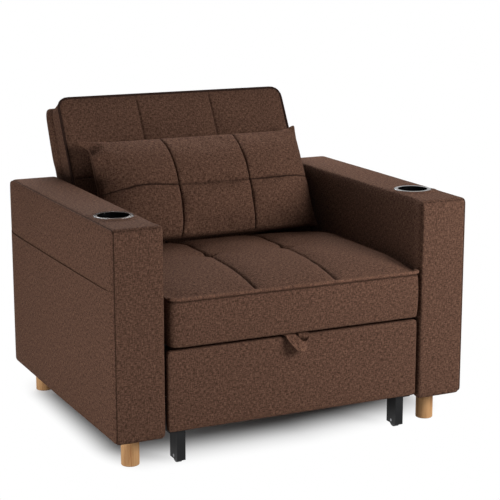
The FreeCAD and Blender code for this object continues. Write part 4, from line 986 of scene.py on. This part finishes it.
class ArmSide:
    """Outer side panel of an arm in its plan: u runs forward, v up, and its height outward."""

    inset, low_inset = 0.0048, 0.0090

    def __init__(self):
        self.settings = s = bpy.context.scene.chair_padding
        low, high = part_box("left_arm_cover")
        self.width = high.x - low.x
        self.rear, self.front = -high.y + self.inset, -low.y - self.inset
        self.foot, self.top = low.z + self.low_inset - s.arm_hem, high.z - self.inset + s.arm_crown
        self.matrix = Matrix(((0, 0, -1, low.x), (-1, 0, 0, 0), (0, 1, 0, 0), (0, 0, 0, 1)))

    def height(self, plan):
        """Height of the padding over the frame's side plane, drawn in next to the seams."""
        edge = from_edge(plan, self.rear, self.front, self.foot, self.top)
        full = 0.0015 * (1 - np.exp(-np.maximum(edge, 0.0) / 0.06))
        return self.swell(plan[:, 0]) + full - 0.0026 * np.exp(-edge / 0.007)

    def swell(self, u):
        """How far the padding stands out, more to the rear."""
        return self.settings.arm_swell + self.settings.arm_rear_swell * smooth_step((self.front - u) / 0.5)

    def pair(self, cover, name):
        """Piece of the left arm and its mirrored copy of the right arm, each with its side's name."""
        for side, mirror in (("left", False), ("right", True)):
            yield side, refine(cover.as_object(side + name, self.matrix, mirror))


class CHAIR_OT_arms(Operator):
    """Padded arms: two side panels sewn to a band that runs over the front and the top"""
    bl_idname = "sleeper_chair.arms"
    bl_label = "Arms"

    low_radius, rear_radius, front_radius = 0.007, 0.022, 0.011
    pitch, seam_line = 0.016, 0.018
    mouth, well_wall, crest, crest_width = 0.0452, 0.030, 0.058, 0.009

    # Seam of the outer panel, rounded edge of the inner one and band: distance out, and depth from the panel
    sewn = [(0.0018, 0.0030), (0.0026, 0.0046), (0.0014, 0.0062), (0.0036, 0.0080)]
    rounded = [(0.0022, 0.0030), (0.0034, 0.0048), (0.0041, 0.0066), (0.0045, 0.0086)]
    band = [(0.0047, 0.0110), (0.0048, 0.0170), (0.0048, 0.030), (0.0048, 0.046)]

    def execute(self, context):
        side = ArmSide()
        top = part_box("left_arm_cover")[1].z
        for name, arm in side.pair(self.panels_and_band(side), "_arm"):
            low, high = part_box(name + "_cup_rim")
            self.open_well(arm, (low + high) / 2, top)
            upholster(arm, "chair", name + "_arm_cover")
        return {"FINISHED"}

    def panels_and_band(self, side):
        """Cover of the left arm in its side plan, with finer lines round the cup well."""
        rim_low, rim_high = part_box("left_cup_rim")
        well, reach = -(rim_low.y + rim_high.y) / 2, 0.057
        marks = (side.front - self.seam_line, well - reach, well, well + reach)
        us = grid_lines(side.rear, side.front, self.pitch, NEAR_EDGE, marks)
        vs = grid_lines(side.foot, side.top, self.pitch, NEAR_EDGE, (side.top - self.seam_line,))

        def inward(u):
            return side.settings.arm_inner_swell * smooth_step((u - side.front + 0.044) / 0.034)

        def back_height(plan):
            u = plan[:, 0]
            return -side.width - inward(u) - side.height(plan) + side.swell(u)

        def boxing(line):
            low_round = 1 + (side.low_inset / side.inset - 1) * smooth_step(-edge_outward(line)[:, 1] * 2 - 1)
            u = line[:, 0]
            outer = [(out * low_round, side.swell(u) - deep) for out, deep in self.sewn + self.band]
            inner = [(out * low_round, deep - side.width - inward(u))
                     for out, deep in self.rounded + self.band]
            return outer + [(side.inset * low_round, -side.width / 2)] + inner[::-1]

        radii = (self.low_radius, self.low_radius, self.front_radius, self.rear_radius)
        cover = Cover(us, vs, radii, side.height, boxing, back_height)
        # Drawn-in ring of the side seam darkened: seam line with painted shade of the groove.
        cover.seam[cover.rings[2]] = 0.9
        self.sew_front_seam(cover, side.front, side.top)
        soft = ripples(cover.points, 0.11, 2) + 0.5 * ripples(cover.points, 0.045, 4)
        outward = np.zeros((len(cover.points), 3))
        outward[cover.face.ravel(), 2] = 1.0
        outward[cover.back.ravel(), 2] = -1.0
        for ring in cover.rings[4:-3]:
            outward[ring, :2] = cover.outward
        cover.points += outward * (soft * 0.0007)[:, None]
        return cover

    def sew_front_seam(self, cover, front, top):
        """Seam across the band where its front meets its top, darkened as a seam line with painted shade of
        its groove.
        """
        u, v = cover.line[:, 0], cover.line[:, 1]
        height = top - 0.004
        corner = np.flatnonzero((np.abs(u - front) < 0.02) & (v > top - 0.03))
        nearest = corner[np.argmin(np.abs(v[corner] - height))]
        for ring in cover.rings[3:-2]:
            cover.seam[ring[nearest]] = 0.4
            cover.points[ring[nearest], :2] -= cover.outward[nearest] * 0.0010

    def open_well(self, arm, middle, top):
        """Round opening in the arm's top under the cup holder's rim, with the padding swelled round it."""
        mesh = bmesh.new()
        mesh.from_mesh(arm.data)

        def away(vert):
            return math.hypot(vert.co.x - middle.x, vert.co.y - middle.y)

        near_top = [face for face in mesh.faces if face.calc_center_median().z > top - 0.01]
        inside = [face for face in near_top if any(away(vert) < self.mouth - 0.001 for vert in face.verts)]
        bmesh.ops.delete(mesh, geom=inside, context="FACES")
        border = [edge for edge in mesh.edges if edge.is_boundary]
        for vert in {vert for edge in border for vert in edge.verts}:
            scale = self.mouth / away(vert)
            vert.co.x = middle.x + (vert.co.x - middle.x) * scale
            vert.co.y = middle.y + (vert.co.y - middle.y) * scale
            vert.co.z = top - 0.0002
        for vert in mesh.verts:
            if vert.co.z > top - 0.010:
                on_top = smooth_step((0.060 - abs(vert.co.x - middle.x)) / 0.014)
                in_front = max(0.0, (middle.y - vert.co.y) / away(vert))
                rise = (0.0035 + 0.0015 * in_front) * on_top
                vert.co.z += rise * bell(away(vert) - self.crest, self.crest_width)
        wall = bmesh.ops.extrude_edge_only(mesh, edges=border)["geom"]
        for item in wall:
            if isinstance(item, bmesh.types.BMVert):
                item.co.z = top - self.well_wall
        for face in mesh.faces:
            face.smooth = True
        bmesh.ops.recalc_face_normals(mesh, faces=mesh.faces)
        mesh.to_mesh(arm.data)
        mesh.free()


class CHAIR_OT_pockets(Operator):
    """Flat side pockets on the outside of the arms, open at the top"""
    bl_idname = "sleeper_chair.pockets"
    bl_label = "Side pockets"

    cloth, sag, tuck, rise, lap = 0.0014, 0.0070, 0.003, 0.0095, 0.001

    def execute(self, context):
        side = ArmSide()
        rear, front, foot = side.rear - self.lap, side.front + self.lap, side.foot + self.tuck
        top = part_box("left_side_pocket")[1].z + self.rise
        us = grid_lines(rear, front, 0.016, (*NEAR_EDGE, 0.020))
        vs = grid_lines(foot, top, 0.016, (0.003, 0.008))

        def reshape(plan):
            u, v = plan[..., 0], plan[..., 1]
            from_end = np.minimum(u - rear, front - u)
            hang = self.sag * (1 - np.exp(-from_end / 0.012)) * smooth_step((v - foot) / (top - foot))
            return np.stack([u, v - hang], -1)

        def stand_off(plan):
            u, v = plan[:, 0], plan[:, 1]
            sewn = np.minimum(np.minimum(u - rear, front - u), v - foot)
            mouth = bell(top - self.sag - v, 0.05)
            loose = (0.0004 + 0.0012 * mouth) * smooth_step(sewn / 0.05)
            return side.height(plan) + (loose - 0.0020 * (1 - smooth_step(sewn / 0.012)))

        def face_height(plan):
            return stand_off(plan) + self.cloth

        def boxing(line):
            back = stand_off(line)
            return [(0.0004, back + self.cloth * 0.8), (0.0004, back + self.cloth * 0.2), (0.0, back)]

        cover = Cover(us, vs, (0.002,) * 4, face_height, boxing, stand_off, reshape)
        for name, pocket in side.pair(cover, "_pocket"):
            fit(pocket, "chair", fabric(), name + "_side_pocket")
        return {"FINISHED"}


class CHAIR_OT_front_panel(Operator):
    """Padded cover of the pull-out's front panel"""
    bl_idname = "sleeper_chair.front_panel"
    bl_label = "Front panel"

    inset, pitch, lap = 0.004, 0.016, 0.0004

    def execute(self, context):
        low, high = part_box("front_panel_cover")
        half, foot, top = high.x - self.inset, low.z + self.inset, high.z - self.inset
        back = low.y - high.y + self.lap
        us = grid_lines(-half, half, self.pitch, NEAR_EDGE)
        vs = grid_lines(foot, top, self.pitch, NEAR_EDGE)

        def face_height(plan):
            return 0.0008 - 0.0020 * np.exp(-from_edge(plan, -half, half, foot, top) / 0.008)

        def boxing(line):
            return [(0.0024, -0.0024), (0.0036, -0.0046), (0.0040, -0.0080), (0.0040, -0.0120),
                    (0.0036, back + 0.0006), (0.0026, back)]

        cover = Cover(us, vs, (self.inset,) * 4, face_height, boxing, level(back))
        face = cover.face.ravel()
        cover.points[face, 2] += 0.0006 * ripples(cover.points[face], 0.10, 7)
        upright = Matrix(((1, 0, 0, 0), (0, 0, -1, low.y), (0, 1, 0, 0), (0, 0, 0, 1)))
        upholster(refine(cover.as_object("panel_cover", upright)), "pull_out", "front_panel_cover")
        return {"FINISHED"}


class CHAIR_OT_pull_strap(Operator):
    """Folded fabric strap that pulls the bed pad out"""
    bl_idname = "sleeper_chair.pull_strap"
    bl_label = "Pull strap"

    thick, width, steps, over_panel = 0.0022, 0.026, 6, 0.0040
    # Centre line and cross direction at each point: across the chair, in front of the panel, over the gap
    route = (
        ((-0.0235, -0.010, 0.0), (1.0, 0.0, 0.0)),
        ((-0.0235, 0.003, 0.0003), (1.0, 0.0, 0.0)),
        ((-0.0195, 0.012, -0.006), (0.92, -0.10, 0.38)),
        ((-0.0135, 0.021, -0.015), (0.70, -0.15, 0.70)),
        ((-0.0070, 0.0275, -0.0235), (0.35, -0.20, 0.91)),
        ((0.0005, 0.0285, -0.0255), (0.10, -0.25, 0.96)),
        ((0.0065, 0.0270, -0.0256), (0.02, -0.25, 0.97)),
        ((0.0118, 0.0240, -0.0250), (0.0, -0.10, 0.99)),
        ((0.0148, 0.0185, -0.0215), (-0.15, 0.50, 0.82)),
        ((0.0155, 0.0110, -0.0120), (0.60, 0.60, 0.50)),
        ((0.0155, 0.0040, -0.0020), (0.97, 0.20, 0.10)),
        ((0.0155, -0.010, 0.0), (1.0, 0.0, 0.0)),
    )
    section = (-0.5, -0.46, -0.2, 0.0, 0.2, 0.46, 0.5)

    def execute(self, context):
        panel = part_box("front_panel_cover")
        out, gap = panel[0].y, panel[1].z + self.over_panel
        centres = [Vector((x, out - away, gap + z)) for (x, away, z), cross in self.route]
        crosses = [Vector((x, -away, z)).normalized() for centre, (x, away, z) in self.route]
        strap = self.ribbon("pull_strap", centres, crosses)
        # The strap's paler fabric is a painted highlight.
        fit(strap, "pull_out", painted_highlight_fabric(), "pull_tab")
        run = sum((b - a).length for a, b in zip(centres, centres[1:]))
        return {"FINISHED"}

    def ribbon(self, name, centres, crosses):
        """Flat strap along a smooth line through centres, with a cross direction at each."""
        places = [k / self.steps for k in range((len(centres) - 1) * self.steps + 1)]
        line = [self.between(centres, place) for place in places]
        sides = [(a, -0.5) for a in self.section] + [(a, 0.5) for a in reversed(self.section)]
        rows, along = [], [0.0]
        for k, middle in enumerate(line):
            cross = self.between(crosses, places[k]).normalized()
            run = line[min(k + 1, len(line) - 1)] - line[max(k - 1, 0)]
            across = (cross - run * (cross.dot(run) / run.length_squared)).normalized()
            normal = across.cross(run).normalized()
            rows.append([middle + across * (a * self.width) + normal * (b * self.thick) for a, b in sides])
            along.append(along[-1] + run.length / 2)
        strap = sweep(name, rows, self.width / (len(self.section) - 1), along, turn=-1)
        for cut_end in strap.data.polygons[-2:]:
            cut_end.use_smooth = False
        return strap

    def between(self, values, place):
        """Smooth curve through values, at a place counted in values."""
        k = min(int(place), len(values) - 2)
        t = place - k
        a, b, c, d = (values[min(max(n, 0), len(values) - 1)] for n in (k - 1, k, k + 1, k + 2))
        square, cube = a * 2 - b * 5 + c * 4 - d, b * 3 - a - c * 3 + d
        return (b * 2 + (c - a) * t + square * t ** 2 + cube * t ** 3) * 0.5


# Finishes of the hard pieces

class CHAIR_OT_hardware(Operator):
    """Finishes of legs, frames, steel, cup holders and rollers"""
    bl_idname = "sleeper_chair.hardware"
    bl_label = "Legs and hardware"

    def execute(self, context):
        s = context.scene.chair_finish
        even, brushed = (1, 1, 1), ((40, 900, 900), 1.0, 3.0, 0.5)
        moulded = (even, 500.0, 3.0, 0.6)
        finishes = {
            "leg_wood": grained_wood("lacquered_leg_wood", s.leg_wood, s.leg_grain, (130, 130, 9), 0.55,
                                     (0.30, 0.22, 0.0)),
            "frame_wood": grained_wood("raw_plywood", s.frame_wood, toned(s.frame_wood, 0.82), (9, 60, 60),
                                       0.9),
            "webbing": ribbed_webbing("elastic_webbing", s.webbing),
            "black_steel": speckled("black_powder_coat", s.black_steel, (even, 14.0, 4.0, 0.65),
                                    ((0.35, 1.0), (0.8, 1.7)), ((0.3, 0.38), (0.75, 0.52)),
                                    ((even, 900.0, 2.0, 0.5), 0.0002, 0.25), Specular_IOR_Level=0.2),
            "plain_steel": speckled("zinc_plated_steel", s.plain_steel, brushed, ((0.3, 0.8), (0.7, 1.0)),
                                    ((0.3, 0.3), (0.7, 0.45)), (brushed, 0.0001, 0.3), Metallic=1.0),
            "cup_liner": speckled("gloss_black_well", s.cup_liner, (even, 60.0, 4.0, 0.7),
                                  ((0.4, 1.0), (0.9, 2.0)), ((0.4, 0.12), (0.8, 0.26)),
                                  Coat_Weight=0.4, Coat_Roughness=0.05),
            "cup_rim": speckled("polished_cup_rim", s.cup_rim, (even, 220.0, 3.0, 0.6),
                                ((0.3, 0.85), (0.7, 1.0)), ((0.3, 0.10), (0.8, 0.20)), Metallic=1.0),
            "roller": speckled("black_nylon", s.roller, moulded, ((0.3, 1.0), (0.8, 1.5)),
                               ((0.3, 0.45), (0.8, 0.6)), (moulded, 0.0002, 0.3)),
        }
        for part in frame["record"]["subparts"]:
            if part["material_slot"] in finishes:
                mesh = frame["nodes"][part["node"]].data
                mesh.materials.clear()
                mesh.materials.append(finishes[part["material_slot"]])
        return {"FINISHED"}


# Stage

class CHAIR_OT_stage(Operator):
    """White floor with a painted shadow under the chair, soft light and camera"""
    bl_idname = "sleeper_chair.stage"
    bl_label = "Stage"

    floor_half, far = 40.0, 200.0
    # Place, aim and size of each light panel
    panels = {
        "key": ((1.40, -2.2, 1.32), (0.2, -0.4, 0.35), (1.1, 1.1)),
        "top": ((0.35, 2.0, 2.22), (0.0, 0.0, 0.5), (1.4, 1.6)),
        "side": ((-2.1, -0.5, 0.32), (-0.4, -0.1, 0.34), (1.8, 0.5)),
    }

    def execute(self, context):
        s = context.scene.chair_stage
        self.floor(s)
        self.world(context, s)
        for name, (place, aim, size) in self.panels.items():
            lamp = bpy.data.lights.new(name + "_light", "AREA")
            lamp.shape = "RECTANGLE"
            lamp.size, lamp.size_y = size
            lamp.energy = getattr(s, name)
            self.aimed(lamp, place, aim).visible_camera = False
        camera = bpy.data.cameras.new("camera")
        camera.sensor_width = 36.0
        camera.lens = s.focal
        camera.clip_end = self.far
        context.scene.camera = self.aimed(camera, s.camera_place, s.camera_aim)
        context.scene.view_settings.view_transform = "Standard"
        return {"FINISHED"}

    def aimed(self, data, place, aim):
        """Object of a lamp or camera at a place, aimed at a point."""
        obj = bpy.data.objects.new(data.name, data)
        bpy.context.scene.collection.objects.link(obj)
        obj.location = place
        obj.rotation_euler = (Vector(aim) - Vector(place)).to_track_quat("-Z", "Y").to_euler()
        return obj

    def seen(self, nodes):
        """1 for rays from the camera, mirrors and glass, 0 for other light."""
        path = nodes.node("LightPath").outputs
        seen = nodes.result("Math", "MAXIMUM", path["Is Camera Ray"], path["Is Glossy Ray"])
        return nodes.result("Math", "MAXIMUM", seen, path["Is Transmission Ray"])

    def painted_shadow_fade(self, nodes, s):
        """0 under the chair's middle, rising to 1 outside its footprint, for rays that show the floor: a
        painted shadow outline, where the grey floor with its real shadow fades to white glow.
        """
        def step(operation, *values):
            return nodes.result("VectorMath", operation, *values)

        none = (0.0, 0.0, 0.0)
        place = nodes.node("TexCoord").outputs["Object"]
        beside = step("MAXIMUM", step("SUBTRACT", place, (s.shadow_turn, 0.0, 0.0)), none)
        slant = step("MULTIPLY", beside, (s.shadow_slant, 0.0, 0.0))
        place = step("SUBTRACT", place, step("CROSS_PRODUCT", slant, (0.0, 0.0, -1.0)))
        past = step("DIVIDE", step("SUBTRACT", place, s.shadow_high), s.fade_high)
        short = step("DIVIDE", step("SUBTRACT", s.shadow_low, place), s.fade_low)
        outside = step("MAXIMUM", step("MAXIMUM", past, short), none)
        away = nodes.result("VectorMath", "LENGTH", outside, output="Value")
        fade = nodes.node("MapRange", interpolation_type="SMOOTHSTEP", Value=away).outputs["Result"]
        return nodes.result("Math", "MULTIPLY", fade, self.seen(nodes))

    def floor(self, s):
        half = self.floor_half
        mesh = bpy.data.meshes.new("floor")
        corners = [(-half, -half, 0), (half, -half, 0), (half, half, 0), (-half, half, 0)]
        mesh.from_pydata(corners, [], [(0, 1, 2, 3)])
        obj = bpy.data.objects.new("floor", mesh)
        bpy.context.scene.collection.objects.link(obj)
        material = bpy.data.materials.new("white_floor")
        material.use_nodes = True
        tree = material.node_tree
        tree.nodes.remove(tree.nodes["Principled BSDF"])
        nodes = Nodes(tree)
        # Grey floor paint, seen only under and near the chair: painted shade that deepens the chair's real
        # shadow.
        paint = nodes.node("BsdfDiffuse", Color=(s.floor, s.floor, s.floor, 1))
        glow = nodes.node("Emission")
        blend = nodes.node("MixShader", Fac=self.painted_shadow_fade(nodes, s))
        nodes.feed(blend.inputs[1], paint.outputs["BSDF"])
        nodes.feed(blend.inputs[2], glow.outputs["Emission"])
        nodes.feed(tree.nodes["Material Output"].inputs["Surface"], blend.outputs["Shader"])
        mesh.materials.append(material)

    def world(self, context, s):
        world = bpy.data.worlds.new("studio")
        world.use_nodes = True
        nodes = Nodes(world.node_tree)
        background = nodes.tree.nodes["Background"]
        background.inputs["Color"].default_value = (1, 1, 1, 1)
        strength = nodes.node("MapRange", Value=self.seen(nodes), To_Min=s.ambient, To_Max=1.0)
        nodes.feed(background.inputs["Strength"], strength.outputs["Result"])
        context.scene.world = world


class CHAIR_PT_builder(Panel):
    """Lists the steps that dress the chair"""
    bl_label = "Sleeper armchair"
    bl_idname = "CHAIR_PT_builder"
    bl_space_type = "VIEW_3D"
    bl_region_type = "UI"
    bl_category = "Sleeper armchair"

    def draw(self, context):
        for step in STEPS:
            self.layout.operator(step.bl_idname)


SETTINGS = {"chair_fabric": FabricSettings, "chair_padding": PaddingSettings, "chair_finish": FinishSettings,
            "chair_stage": StageSettings}
STEPS = (CHAIR_OT_stage, CHAIR_OT_hardware, CHAIR_OT_arms, CHAIR_OT_pockets, CHAIR_OT_seat, CHAIR_OT_back,
         CHAIR_OT_pillow, CHAIR_OT_front_panel, CHAIR_OT_pull_strap, CHAIR_OT_pad)
CLASSES = (*SETTINGS.values(), *STEPS, CHAIR_PT_builder)


def register():
    for item in CLASSES:
        bpy.utils.register_class(item)
    for name, group in SETTINGS.items():
        setattr(bpy.types.Scene, name, PointerProperty(type=group))


def unregister():
    for name in SETTINGS:
        delattr(bpy.types.Scene, name)
    for item in reversed(CLASSES):
        bpy.utils.unregister_class(item)


def main():
    register()
    for step in STEPS:
        family, name = step.bl_idname.split(".")
        getattr(getattr(bpy.ops, family), name)()


if __name__ == "__main__":
    main()
